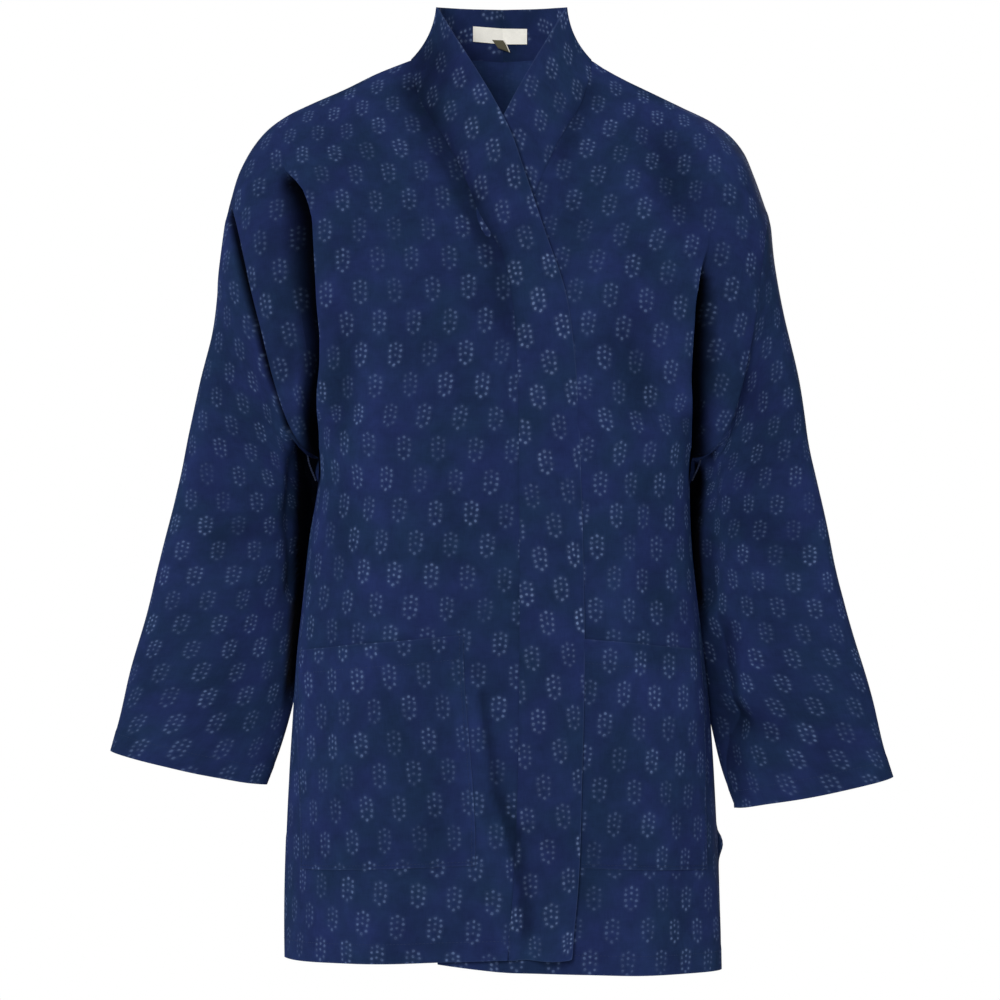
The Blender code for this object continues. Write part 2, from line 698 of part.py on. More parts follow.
def build_side(side):
    """Panels, sleeve, band and pocket of one side, parted at their seams."""
    word = "right" if side == RIGHT else "left"
    steps = np.linspace(0.0, 1.0, YOKE_ROWS + 1)
    front = fold_in("front_" + word, front_sheet(side))
    back = fold_in("back_" + word, back_sheet(side))
    band = band_sheet(side)
    sleeve = fold_in("sleeve_" + word, sleeve_sheet(side), closed=True)
    front_out = sheet_normals(front)
    back_out = sheet_normals(back)
    band_out = sheet_normals(band)
    sleeve_out = sheet_normals(sleeve, closed=True)

    # Shoulder and side seams lie in the plane y = 0, the centre back in x = 0.
    ridge = shoulder_curve(side, front_columns(UNDERARM_Z))
    front_out[0] = unit(np.cross(np.gradient(ridge, axis=0), (0.0, side, 0.0)))
    shoulder = shoulder_curve(side, np.linspace(0.0, 1.0, SHOULDER_COLUMNS + 1))
    back_out[0, NECK_COLUMNS:] = unit(np.cross(np.gradient(shoulder, axis=0), (0.0, side, 0.0)))
    front[0, :, 1] = -SEAM_GAP / 2
    back[0, NECK_COLUMNS:, 1] = SEAM_GAP / 2
    for grid, outward, face in ((front, front_out, FRONT), (back, back_out, BACK)):
        outward[YOKE_ROWS:, -1] = flatten_axis(outward[YOKE_ROWS:, -1], 1)
        vent = VENT_OPEN / 2 * ease(-grid[YOKE_ROWS:, -1, 2], -VENT_TOP_Z, -BACK_HEM_Z[side])
        grid[YOKE_ROWS:, -1, 1] = face * (SEAM_GAP / 2 + vent)
    back_out[:, 0] = flatten_axis(back_out[:, 0], 0)
    back[:, 0, 0] = side * SEAM_GAP / 2

    # The armhole edges of the body and the sleeve share one direction at each point.
    turns = np.arange(2 * YOKE_ROWS) / (2 * YOKE_ROWS)
    _, outward, away = armhole(side, turns)
    sleeve_out[0] = outward
    sleeve[0] += away * SEAM_GAP / 2
    for grid, normals, face in ((front, front_out, FRONT), (back, back_out, BACK)):
        _, outward, away = armhole(side, -face * steps / 2)
        normals[: YOKE_ROWS + 1, -1] = outward
        grid[: YOKE_ROWS + 1, -1] -= away * SEAM_GAP / 2

    # The band's sewn edge follows the back neck, then the front.
    seam_front = slice(NECK_COLUMNS, None)
    shared = unit(front_out[:, 0] + band_out[seam_front, 0])
    shared[0] = unit(front_out[0, 0] + flatten_axis(band_out[NECK_COLUMNS, 0], 1))
    tangent = np.gradient(front[:, 0], axis=0)
    toward_band = unit(np.cross(tangent, shared)) * side
    front_out[:, 0] = shared
    front[:, 0] -= toward_band * SEAM_GAP / 2
    band_out[seam_front, 0] = shared
    band[seam_front, 0] += toward_band * SEAM_GAP / 2
    neck = slice(0, NECK_COLUMNS + 1)
    shared = unit(back_out[0, neck] + band_out[neck, 0])
    shared[0] = flatten_axis(shared[0], 0)
    shared[-1] = front_out[0, 0]
    tangent = np.gradient(back[0, neck], axis=0)
    toward_band = unit(np.cross(tangent, shared)) * side
    back_out[0, neck] = shared
    back[0, neck] -= toward_band * SEAM_GAP / 2
    band_out[neck, 0] = shared
    band[: NECK_COLUMNS, 0] += toward_band[:-1] * SEAM_GAP / 2
    band_out[0] = flatten_axis(band_out[0], 0)
    band[0, :, 0] = side * SEAM_GAP / 2
    back[:, 0, 0] = side * SEAM_GAP / 2

    wall("front_" + word, front, front_out, CLOTH, INDIGO)
    wall("back_" + word, back, back_out, CLOTH, INDIGO)
    wall("band_" + word, band, band_out, BAND_CLOTH, INDIGO_BAND)
    wall("sleeve_" + word, sleeve, sleeve_out, CLOTH, INDIGO, closed=True)

    first_row = YOKE_ROWS + CHEST_ROWS
    rows = slice(first_row, first_row + POCKET_ROWS + 1)
    columns = slice(INNER_COLUMNS, INNER_COLUMNS + POCKET_COLUMNS + 1)
    off_panel = CLOTH + SEAM_GAP
    pocket = front[rows, columns] + front_out[rows, columns] * off_panel
    wall("pocket_" + word, pocket, front_out[rows, columns], CLOTH, INDIGO)


def neck_inside(from_x, to_x, low_share, high_share, columns):
    """Sheet on the inside of the collar at the back neck, with its directions."""
    across = np.linspace(from_x, to_x, columns + 1)
    shares = np.linspace(0.0, 1.0, CURVE_STEPS)
    lines = []
    for edge in (False, True):
        half = neck_curve(RIGHT, edge, shares) * (RIGHT, 1, 1)
        y = np.interp(np.abs(across), half[:, 0], half[:, 1])
        z = np.interp(np.abs(across), half[:, 0], half[:, 2])
        lines.append(np.column_stack([across, y, z]))
    up = np.linspace(low_share, high_share, TAPE_ROWS + 1)[:, None, None]
    sheet = lines[0][None] * (1 - up) + lines[1][None] * up
    outward = sheet_normals(sheet)
    round_neck = np.interp(np.abs(across), half[:, 0], shares)
    crown = NECK_SIDE_CROWN * round_neck[None, :, None] * 4 * up * (1 - up)
    inward = BAND_CLOTH / 2 + LABEL_GAP + LABEL_CLOTH / 2
    return sheet + outward * (crown - inward), outward


def build_neck_tapes():
    """Blank label and the blank size tab under it."""
    grid, outward = neck_inside(LABEL_FROM_X, LABEL_TO_X, LABEL_LOW_SHARE, LABEL_HIGH_SHARE, LABEL_COLUMNS)
    wall("label", grid, outward, LABEL_CLOTH, CREAM)
    grid, outward = neck_inside(TAB_FROM_X, TAB_TO_X, TAB_LOW_SHARE, TAB_HIGH_SHARE, TAB_COLUMNS)
    wall("size_tab", grid, outward, LABEL_CLOTH, OLIVE)


def build_belt_loop(side):
    """Narrow thread loop that stands out from the side seam at the waist."""
    name = "belt_loop_right" if side == RIGHT else "belt_loop_left"
    shares = np.linspace(0.0, 1.0, LOOP_STEPS + 1)
    heights = LOOP_TOP_Z + (LOOP_LOW_Z - LOOP_TOP_Z) * shares
    half = column(RINGS, "right_half" if side == RIGHT else "left_half", heights)
    off_panel = CLOTH / 2 + LOOP_GAP + LOOP_RADIUS
    stand = off_panel + LOOP_BULGE * np.sin(np.pi * shares) ** LOOP_ROUNDING
    path = np.column_stack([side * (half + stand), np.full_like(shares, LOOP_Y), heights])
    tangent = unit(np.gradient(path, axis=0))
    across = np.array([0.0, 1.0, 0.0])
    beside = unit(np.cross(tangent, across))
    shape = bmesh.new()
    rings = []
    for point, out in zip(path, beside):
        turns = [2 * np.pi * k / LOOP_SIDES for k in range(LOOP_SIDES)]
        spots = [point + LOOP_RADIUS * (np.cos(turn) * across + np.sin(turn) * out) for turn in turns]
        rings.append([shape.verts.new(spot) for spot in spots])
    for low, high in zip(rings[:-1], rings[1:]):
        for k in range(LOOP_SIDES):
            after = (k + 1) % LOOP_SIDES
            shape.faces.new((low[k], low[after], high[after], high[k]))
    shape.faces.new(rings[0])
    shape.faces.new(rings[-1])
    bmesh.ops.triangulate(shape, faces=shape.faces[:])
    bmesh.ops.recalc_face_normals(shape, faces=shape.faces[:])
    mesh = bpy.data.meshes.new(name)
    shape.to_mesh(mesh)
    shape.free()
    mesh.shade_smooth()
    add_object(name, mesh, INDIGO_CORD)


def main():
    """Build the jacket."""
    clear_scene()
    for side in (RIGHT, LEFT):
        build_side(side)
        build_belt_loop(side)
    build_neck_tapes()


main()
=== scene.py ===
"""Kimono jacket in block-printed indigo cotton, in its worn shape, dressed and lit.

Metres, +Z up, the front faces -Y and the wearer's right is -X.
"""

import logging
import math
from dataclasses import dataclass, field
from enum import Enum
from functools import partial
from typing import Any, NamedTuple, Sequence

import bpy
import numpy as np
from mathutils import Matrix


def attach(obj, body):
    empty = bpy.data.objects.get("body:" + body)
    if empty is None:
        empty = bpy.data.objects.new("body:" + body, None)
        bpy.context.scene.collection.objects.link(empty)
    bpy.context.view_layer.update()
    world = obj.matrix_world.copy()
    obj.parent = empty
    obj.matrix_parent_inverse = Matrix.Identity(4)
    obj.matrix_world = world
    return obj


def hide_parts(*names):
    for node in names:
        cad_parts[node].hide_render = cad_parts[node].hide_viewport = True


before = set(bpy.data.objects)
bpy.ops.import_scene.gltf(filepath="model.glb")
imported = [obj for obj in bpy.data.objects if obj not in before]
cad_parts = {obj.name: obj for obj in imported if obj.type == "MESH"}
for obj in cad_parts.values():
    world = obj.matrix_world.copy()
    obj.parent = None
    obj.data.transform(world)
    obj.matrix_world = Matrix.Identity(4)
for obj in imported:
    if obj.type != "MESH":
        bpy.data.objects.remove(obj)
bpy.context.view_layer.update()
LOG = logging.getLogger("jacket")
MM = 0.001
PER_METRE = 1000.0


class Side(Enum):
    """Side of the wearer; the value is the sign of x."""

    RIGHT = -1
    LEFT = 1

    @property
    def word(self) -> str:
        """The side's name as it stands in piece names."""
        return self.name.lower()

    @property
    def half(self) -> str:
        """Name of this side's column of half widths."""
        return f"{self.word}_half"

    @property
    def other(self) -> "Side":
        """The opposite side."""
        return Side(-self.value)

    def pick(self, pair: tuple[float, float]) -> float:
        """The right or left value of a pair."""
        return pair[self is Side.LEFT]


class Face(Enum):
    """Front or back of the jacket; the value is the sign of y."""

    FRONT = -1
    BACK = 1


class Edge(Enum):
    """Edge of a sheet: axis that leads away from it, and whether it is the far end."""

    TOP = (0, False)
    BOTTOM = (0, True)
    INNER = (1, False)
    OUTER = (1, True)


class Ring(NamedTuple):
    """Level section of the body: half widths on each side, depths before and behind."""

    z: float
    right_half: float
    left_half: float
    front_depth: float
    back_depth: float


class FrontLine(NamedTuple):
    """Front band below the underarm, measured from the centre towards its own side."""

    z: float
    seam_x: float
    edge_x: float


class CollarPlace(NamedTuple):
    """Sewn and free edge of the collar band above the underarm, x towards its own side."""

    seam_x: float
    seam_y: float
    seam_z: float
    edge_x: float
    edge_y: float
    edge_z: float


class ShoulderPlace(NamedTuple):
    """Point of the shoulder seam on each side, x towards that side."""

    right_x: float
    right_z: float
    left_x: float
    left_z: float


class SleeveRing(NamedTuple):
    """Oval section of a sleeve through its outermost and innermost points."""

    outer_x: float
    outer_y: float
    outer_z: float
    inner_x: float
    inner_y: float
    inner_z: float
    half_depth: float


RINGS = (
    Ring(-0.340, 0.1750, 0.1785, 0.131, 0.112),
    Ring(-0.370, 0.1740, 0.1770, 0.131, 0.112),
    Ring(-0.400, 0.1745, 0.1760, 0.131, 0.112),
    Ring(-0.450, 0.1830, 0.1780, 0.132, 0.113),
    Ring(-0.510, 0.1895, 0.1840, 0.133, 0.115),
    Ring(-0.560, 0.1950, 0.1900, 0.135, 0.118),
    Ring(-0.620, 0.1990, 0.1960, 0.137, 0.122),
    Ring(-0.700, 0.2020, 0.2005, 0.140, 0.127),
    Ring(-0.800, 0.2040, 0.2035, 0.143, 0.130),
    Ring(-0.865, 0.2045, 0.2045, 0.144, 0.131),
)

FRONT_LINES = (
    FrontLine(-0.345, -0.0144, -0.0697),
    FrontLine(-0.470, -0.0150, -0.0731),
    FrontLine(-0.570, -0.0150, -0.0744),
    FrontLine(-0.680, -0.0135, -0.0721),
    FrontLine(-0.790, -0.0085, -0.0674),
    FrontLine(-0.865, -0.0020, -0.0580),
)

NECK_PLACES = (
    CollarPlace(0.0000, 0.0724, 0.0080, 0.0000, 0.0660, 0.0580),
    CollarPlace(0.0405, 0.0631, 0.0095, 0.0350, 0.0560, 0.0575),
    CollarPlace(0.0700, 0.0380, 0.0065, 0.0555, 0.0310, 0.0555),
    CollarPlace(0.0870, 0.0000, 0.0015, 0.0627, 0.0000, 0.0520),
)

FRONT_PLACES = (
    CollarPlace(0.0870, 0.0000, 0.0015, 0.0627, 0.0000, 0.0520),
    CollarPlace(0.0840, -0.0260, -0.0200, 0.0480, -0.0260, 0.0260),
    CollarPlace(0.0755, -0.0480, -0.0450, 0.0300, -0.0500, -0.0043),
    CollarPlace(0.0558, -0.0750, -0.0770, 0.0080, -0.0750, -0.0440),
    CollarPlace(0.0379, -0.0950, -0.1123, -0.0085, -0.0940, -0.0790),
    CollarPlace(0.0212, -0.1090, -0.1531, -0.0195, -0.1060, -0.1120),
    CollarPlace(0.0009, -0.1200, -0.1897, -0.0380, -0.1185, -0.1680),
    CollarPlace(-0.0083, -0.1265, -0.2321, -0.0577, -0.1295, -0.2276),
    CollarPlace(-0.0128, -0.1300, -0.2900, -0.0660, -0.1310, -0.2900),
)

SHOULDER = (
    ShoulderPlace(0.0870, 0.0015, 0.0835, 0.0015),
    ShoulderPlace(0.1020, -0.0042, 0.0965, -0.0070),
    ShoulderPlace(0.1170, -0.0102, 0.1120, -0.0155),
    ShoulderPlace(0.1520, -0.0272, 0.1415, -0.0298),
    ShoulderPlace(0.1815, -0.0400, 0.1710, -0.0440),
    ShoulderPlace(0.2064, -0.0523, 0.2000, -0.0585),
    ShoulderPlace(0.2242, -0.0656, 0.2162, -0.0710),
    ShoulderPlace(0.2375, -0.0817, 0.2280, -0.0855),
    ShoulderPlace(0.2489, -0.1026, 0.2380, -0.1083),
    ShoulderPlace(0.2607, -0.1416, 0.2518, -0.1470),
)

CENTRE_BACK = (
    (0.0724, 0.0080),
    (0.0960, -0.0550),
    (0.1080, -0.1200),
    (0.1130, -0.2000),
    (0.1130, -0.2900),
    (0.1120, -0.3450),
)

SLEEVE_RINGS = {
    Side.RIGHT: (
        SleeveRing(0.2680, -0.004, -0.190, 0.1760, 0.024, -0.365, 0.083),
        SleeveRing(0.2750, -0.012, -0.254, 0.1735, 0.046, -0.385, 0.081),
        SleeveRing(0.2860, -0.018, -0.305, 0.1715, 0.060, -0.405, 0.079),
        SleeveRing(0.2972, -0.020, -0.358, 0.1710, 0.068, -0.430, 0.076),
        SleeveRing(0.3092, -0.020, -0.416, 0.1735, 0.070, -0.465, 0.071),
        SleeveRing(0.3220, -0.020, -0.467, 0.1825, 0.066, -0.505, 0.066),
        SleeveRing(0.3355, -0.020, -0.526, 0.1930, 0.054, -0.558, 0.062),
        SleeveRing(0.3496, -0.020, -0.577, 0.2025, 0.028, -0.607, 0.058),
        SleeveRing(0.3600, -0.020, -0.622, 0.2140, 0.006, -0.652, 0.055),
        SleeveRing(0.3690, -0.020, -0.653, 0.2250, -0.010, -0.685, 0.053),
    ),
    Side.LEFT: (
        SleeveRing(0.2565, -0.004, -0.190, 0.1785, 0.024, -0.365, 0.083),
        SleeveRing(0.2640, -0.012, -0.239, 0.1755, 0.046, -0.385, 0.081),
        SleeveRing(0.2785, -0.018, -0.305, 0.1735, 0.060, -0.405, 0.079),
        SleeveRing(0.2880, -0.020, -0.365, 0.1720, 0.068, -0.432, 0.076),
        SleeveRing(0.3018, -0.020, -0.425, 0.1735, 0.070, -0.470, 0.071),
        SleeveRing(0.3150, -0.020, -0.485, 0.1775, 0.066, -0.517, 0.066),
        SleeveRing(0.3300, -0.020, -0.545, 0.1860, 0.054, -0.577, 0.062),
        SleeveRing(0.3460, -0.020, -0.600, 0.2000, 0.028, -0.630, 0.058),
        SleeveRing(0.3585, -0.020, -0.648, 0.2100, 0.006, -0.676, 0.055),
        SleeveRing(0.3686, -0.020, -0.677, 0.2195, -0.010, -0.707, 0.053),
    ),
}


class Fold(NamedTuple):
    """Soft trough from one point to another as seen from the front or back; a ridge if negative."""

    from_x: float
    from_z: float
    to_x: float
    to_z: float
    depth: float
    width: float
    face: Face = Face.FRONT


MAIN_FOLDS = {
    "front_right": (
        Fold(-0.216, -0.105, -0.200, -0.165, 0.008, 0.015),
        Fold(-0.200, -0.165, -0.190, -0.290, 0.012, 0.015),
    ),
    "front_left": (
        Fold(0.200, -0.165, 0.196, -0.230, 0.007, 0.015),
        Fold(0.196, -0.230, 0.192, -0.300, 0.010, 0.015),
    ),
    "back_right": (
        Fold(-0.200, -0.140, -0.182, -0.310, 0.016, 0.022, Face.BACK),
        Fold(-0.080, -0.480, -0.095, -0.842, 0.006, 0.028, Face.BACK),
    ),
    "back_left": (
        Fold(0.196, -0.150, 0.182, -0.315, 0.015, 0.022, Face.BACK),
        Fold(0.060, -0.560, 0.085, -0.848, 0.007, 0.030, Face.BACK),
    ),
    "sleeve_right": (
        Fold(-0.268, -0.235, -0.256, -0.310, 0.006, 0.018),
        Fold(-0.232, -0.390, -0.262, -0.470, 0.006, 0.022),
        Fold(-0.188, -0.365, -0.192, -0.500, 0.020, 0.012),
    ),
    "sleeve_left": (
        Fold(0.246, -0.330, 0.226, -0.420, 0.007, 0.022),
        Fold(0.214, -0.620, 0.256, -0.634, 0.006, 0.022),
        Fold(0.188, -0.365, 0.190, -0.510, 0.018, 0.012),
    ),
}

# Lesser creases, listed one by one.
CREASES = {
    "front_right": (
        Fold(-0.165, -0.055, -0.120, -0.185, 0.0022, 0.020),
        Fold(-0.150, -0.120, -0.085, -0.215, -0.0018, 0.018),
        Fold(-0.143, -0.255, -0.152, -0.350, 0.0040, 0.015),
        Fold(-0.122, -0.270, -0.126, -0.380, -0.0026, 0.015),
        Fold(-0.150, -0.400, -0.165, -0.540, 0.0034, 0.017),
        Fold(-0.085, -0.420, -0.105, -0.560, -0.0024, 0.020),
        Fold(-0.161, -0.545, -0.165, -0.660, 0.0024, 0.010),
        Fold(-0.070, -0.600, -0.060, -0.740, 0.0024, 0.016),
        Fold(-0.130, -0.760, -0.136, -0.842, -0.0030, 0.022),
    ),
    "front_left": (
        Fold(0.170, -0.055, 0.215, -0.105, -0.0040, 0.015),
        Fold(0.142, -0.085, 0.176, -0.150, 0.0050, 0.017),
        Fold(0.120, -0.120, 0.070, -0.235, -0.0018, 0.018),
        Fold(0.104, -0.255, 0.136, -0.330, 0.0042, 0.018),
        Fold(0.150, -0.250, 0.160, -0.330, -0.0024, 0.014),
        Fold(0.140, -0.400, 0.150, -0.560, 0.0030, 0.018),
        Fold(0.098, -0.430, 0.112, -0.640, -0.0022, 0.017),
        Fold(0.096, -0.716, 0.140, -0.730, 0.0018, 0.008),
        Fold(0.170, -0.640, 0.176, -0.800, 0.0028, 0.016),
        Fold(0.112, -0.770, 0.118, -0.853, -0.0030, 0.020),
    ),
    "back_right": (
        Fold(-0.030, -0.030, -0.140, -0.120, 0.0026, 0.020, Face.BACK),
        Fold(-0.060, -0.150, -0.150, -0.250, -0.0024, 0.022, Face.BACK),
        Fold(-0.150, -0.330, -0.080, -0.390, 0.0030, 0.016, Face.BACK),
        Fold(-0.130, -0.420, -0.150, -0.640, 0.0034, 0.020, Face.BACK),
        Fold(-0.040, -0.600, -0.046, -0.840, -0.0040, 0.024, Face.BACK),
        Fold(-0.150, -0.690, -0.160, -0.840, -0.0030, 0.018, Face.BACK),
    ),
    "back_left": (
        Fold(0.036, -0.036, 0.120, -0.110, 0.0024, 0.020, Face.BACK),
        Fold(0.070, -0.140, 0.150, -0.260, -0.0026, 0.022, Face.BACK),
        Fold(0.160, -0.340, 0.090, -0.410, 0.0030, 0.016, Face.BACK),
        Fold(0.120, -0.450, 0.140, -0.700, 0.0034, 0.020, Face.BACK),
        Fold(0.026, -0.660, 0.034, -0.846, -0.0036, 0.020, Face.BACK),
        Fold(0.150, -0.730, 0.164, -0.846, -0.0034, 0.020, Face.BACK),
    ),
    "sleeve_right": (
        Fold(-0.204, -0.280, -0.212, -0.335, 0.0034, 0.010),
        Fold(-0.224, -0.330, -0.262, -0.372, 0.0030, 0.013),
        Fold(-0.205, -0.430, -0.260, -0.455, 0.0034, 0.013),
        Fold(-0.215, -0.480, -0.285, -0.490, -0.0028, 0.015),
        Fold(-0.300, -0.420, -0.320, -0.560, -0.0024, 0.018),
        Fold(-0.250, -0.560, -0.275, -0.680, 0.0026, 0.017),
        Fold(-0.310, -0.590, -0.322, -0.670, -0.0022, 0.016),
        Fold(-0.220, -0.400, -0.285, -0.430, 0.0040, 0.015, Face.BACK),
        Fold(-0.215, -0.465, -0.300, -0.470, 0.0036, 0.014, Face.BACK),
        Fold(-0.250, -0.290, -0.270, -0.370, -0.0030, 0.018, Face.BACK),
        Fold(-0.290, -0.540, -0.310, -0.670, 0.0028, 0.020, Face.BACK),
    ),
    "sleeve_left": (
        Fold(0.222, -0.270, 0.232, -0.330, 0.0030, 0.014),
        Fold(0.214, -0.430, 0.272, -0.455, 0.0034, 0.014),
        Fold(0.222, -0.480, 0.290, -0.500, -0.0026, 0.015),
        Fold(0.290, -0.400, 0.312, -0.560, -0.0024, 0.018),
        Fold(0.204, -0.545, 0.217, -0.690, 0.0085, 0.014),
        Fold(0.236, -0.560, 0.240, -0.605, -0.0040, 0.014),
        Fold(0.214, -0.620, 0.256, -0.634, 0.0060, 0.010),
        Fold(0.290, -0.610, 0.318, -0.690, 0.0026, 0.018),
        Fold(0.222, -0.410, 0.292, -0.430, 0.0038, 0.015, Face.BACK),
        Fold(0.220, -0.470, 0.300, -0.486, 0.0034, 0.014, Face.BACK),
        Fold(0.240, -0.300, 0.258, -0.380, -0.0030, 0.018, Face.BACK),
        Fold(0.280, -0.560, 0.302, -0.690, 0.0030, 0.020, Face.BACK),
    ),
}


class TuckSpot(NamedTuple):
    """Place on the edge of the deep tuck beside an arm, x towards its own side.

    The tuck has a depth and a width there, and the shade painted in it reaches as far as `dark`.
    """

    x: float
    z: float
    depth: float
    wide: float
    dark: float


TUCKS = {
    Side.RIGHT: (
        TuckSpot(0.2225, -0.0650, 0.000, 0.014, 0.006),
        TuckSpot(0.2150, -0.0850, 0.000, 0.014, 0.006),
        TuckSpot(0.2026, -0.1077, 0.006, 0.016, 0.008),
        TuckSpot(0.1924, -0.1188, 0.016, 0.018, 0.014),
        TuckSpot(0.1849, -0.1287, 0.028, 0.021, 0.018),
        TuckSpot(0.1794, -0.1420, 0.038, 0.028, 0.021),
        TuckSpot(0.1756, -0.1569, 0.044, 0.032, 0.023),
        TuckSpot(0.1738, -0.1857, 0.046, 0.030, 0.022),
        TuckSpot(0.1710, -0.2331, 0.046, 0.025, 0.018),
        TuckSpot(0.1683, -0.2647, 0.046, 0.024, 0.017),
        TuckSpot(0.1691, -0.2898, 0.045, 0.026, 0.017),
        TuckSpot(0.1715, -0.3186, 0.044, 0.038, 0.018),
        TuckSpot(0.1728, -0.3416, 0.042, 0.044, 0.021),
        TuckSpot(0.1730, -0.3600, 0.036, 0.042, 0.018),
        TuckSpot(0.1740, -0.4050, 0.000, 0.030, 0.010),
    ),
    Side.LEFT: (
        TuckSpot(0.2110, -0.0690, 0.000, 0.014, 0.006),
        TuckSpot(0.2010, -0.1200, 0.000, 0.014, 0.006),
        TuckSpot(0.1900, -0.1800, 0.002, 0.014, 0.006),
        TuckSpot(0.1839, -0.1980, 0.007, 0.016, 0.007),
        TuckSpot(0.1815, -0.2117, 0.016, 0.022, 0.013),
        TuckSpot(0.1780, -0.2359, 0.034, 0.026, 0.018),
        TuckSpot(0.1770, -0.2563, 0.042, 0.028, 0.020),
        TuckSpot(0.1750, -0.2823, 0.044, 0.032, 0.021),
        TuckSpot(0.1735, -0.3083, 0.044, 0.042, 0.021),
        TuckSpot(0.1745, -0.3300, 0.044, 0.052, 0.020),
        TuckSpot(0.1760, -0.3500, 0.040, 0.060, 0.024),
        TuckSpot(0.1765, -0.4050, 0.000, 0.030, 0.012),
    ),
}


class GulfSpot(NamedTuple):
    """Turning line of a sleeve beside the body, x towards its own side, and how deep it drops."""

    x: float
    z: float
    depth: float


GULFS = {
    Side.RIGHT: (
        GulfSpot(0.2030, -0.300, 0.020),
        GulfSpot(0.2045, -0.345, 0.050),
        GulfSpot(0.2050, -0.400, 0.055),
        GulfSpot(0.2040, -0.450, 0.055),
        GulfSpot(0.2045, -0.510, 0.050),
        GulfSpot(0.2090, -0.570, 0.032),
        GulfSpot(0.2150, -0.630, 0.000),
    ),
    Side.LEFT: (
        GulfSpot(0.1920, -0.300, 0.020),
        GulfSpot(0.1920, -0.345, 0.045),
        GulfSpot(0.1980, -0.400, 0.050),
        GulfSpot(0.1930, -0.450, 0.045),
        GulfSpot(0.1950, -0.500, 0.025),
        GulfSpot(0.2000, -0.560, 0.000),
    ),
}

# Creases that run across the seam between a front and its band.
BAND_CREASES = {
    Side.RIGHT: (
        Fold(-0.0840, -0.0320, -0.0450, -0.1120, 0.0036, 0.011),
        Fold(-0.0450, -0.1120, -0.0080, -0.1900, 0.0036, 0.011),
        Fold(-0.0080, -0.1900, 0.0060, -0.2600, 0.0022, 0.011),
        Fold(-0.0360, -0.5900, -0.0220, -0.6812, -0.0046, 0.010),
        Fold(-0.0220, -0.6812, 0.0000, -0.7540, -0.0060, 0.010),
        Fold(0.0000, -0.7540, 0.0080, -0.8400, -0.0060, 0.010),
        Fold(-0.0200, -0.5950, -0.0070, -0.6812, 0.0030, 0.006),
        Fold(-0.0070, -0.6812, 0.0080, -0.7177, 0.0042, 0.007),
        Fold(0.0080, -0.7177, 0.0160, -0.7634, 0.0044, 0.008),
        Fold(0.0160, -0.7634, 0.0230, -0.8150, 0.0040, 0.007),
        Fold(0.0230, -0.8150, 0.0240, -0.8480, 0.0032, 0.008),
        Fold(0.0400, -0.8250, 0.0520, -0.8560, -0.0120, 0.018),
    ),
    Side.LEFT: (
        Fold(0.0800, -0.0320, 0.0540, -0.0950, 0.0020, 0.010),
    ),
}


class ShadeSpot(NamedTuple):
    """Soft patch of the front where shade is painted into the colour."""

    x: float
    z: float
    wide: float
    tall: float
    deeper: float


# Patches of painted shade on the front: at the collar, the shoulders, the chest and along the left arm.
PAINTED_SHADE = (
    ShadeSpot(-0.070, -0.010, 0.026, 0.042, 0.56),
    ShadeSpot(-0.065, -0.053, 0.011, 0.019, 0.20),
    ShadeSpot(-0.053, -0.080, 0.010, 0.018, 0.22),
    ShadeSpot(-0.040, -0.108, 0.010, 0.018, 0.22),
    ShadeSpot(-0.026, -0.136, 0.010, 0.018, 0.22),
    ShadeSpot(-0.012, -0.163, 0.010, 0.018, 0.20),
    ShadeSpot(-0.003, -0.187, 0.010, 0.020, 0.16),
    ShadeSpot(0.156, -0.112, 0.022, 0.045, 0.22),
    ShadeSpot(0.122, -0.290, 0.020, 0.040, 0.13),
    ShadeSpot(-0.147, -0.310, 0.014, 0.055, 0.13),
    ShadeSpot(-0.220, -0.240, 0.030, 0.100, 0.13),
    ShadeSpot(0.230, -0.330, 0.035, 0.130, 0.17),
    ShadeSpot(0.210, -0.557, 0.013, 0.042, 0.34),
    ShadeSpot(0.206, -0.604, 0.014, 0.036, 0.40),
    ShadeSpot(0.227, -0.616, 0.026, 0.011, 0.40),
    ShadeSpot(0.214, -0.668, 0.011, 0.036, 0.34),
    ShadeSpot(0.225, -0.640, 0.030, 0.060, 0.12),
    ShadeSpot(-0.010, -0.220, 0.020, 0.040, 0.10),
    ShadeSpot(0.040, -0.700, 0.050, 0.120, 0.06),
)


class Wave(NamedTuple):
    """Slow swell of the cloth: lengths across and down, phase, height at the top and at the hem."""

    across: float
    down: float
    phase: float
    top: float
    hem: float


SWELLS = {
    "front_right": (Wave(0.131, 0.92, 0.4, 0.0006, 0.0018), Wave(0.083, -0.61, 1.9, 0.0005, 0.0012)),
    "front_left": (Wave(0.118, -0.83, 2.1, 0.0006, 0.0020), Wave(0.079, 0.57, 0.7, 0.0005, 0.0012)),
    "back_right": (Wave(0.125, 0.77, 1.2, 0.0008, 0.0028), Wave(0.091, -0.49, 2.8, 0.0006, 0.0016)),
    "back_left": (Wave(0.136, -0.88, 0.2, 0.0008, 0.0028), Wave(0.087, 0.66, 1.5, 0.0006, 0.0016)),
    "sleeve_right": (Wave(0.097, 0.52, 0.9, 0.0008, 0.0016), Wave(0.068, -0.36, 2.2, 0.0006, 0.0010)),
    "sleeve_left": (Wave(0.103, -0.47, 1.7, 0.0008, 0.0016), Wave(0.071, 0.33, 0.3, 0.0006, 0.0010)),
}


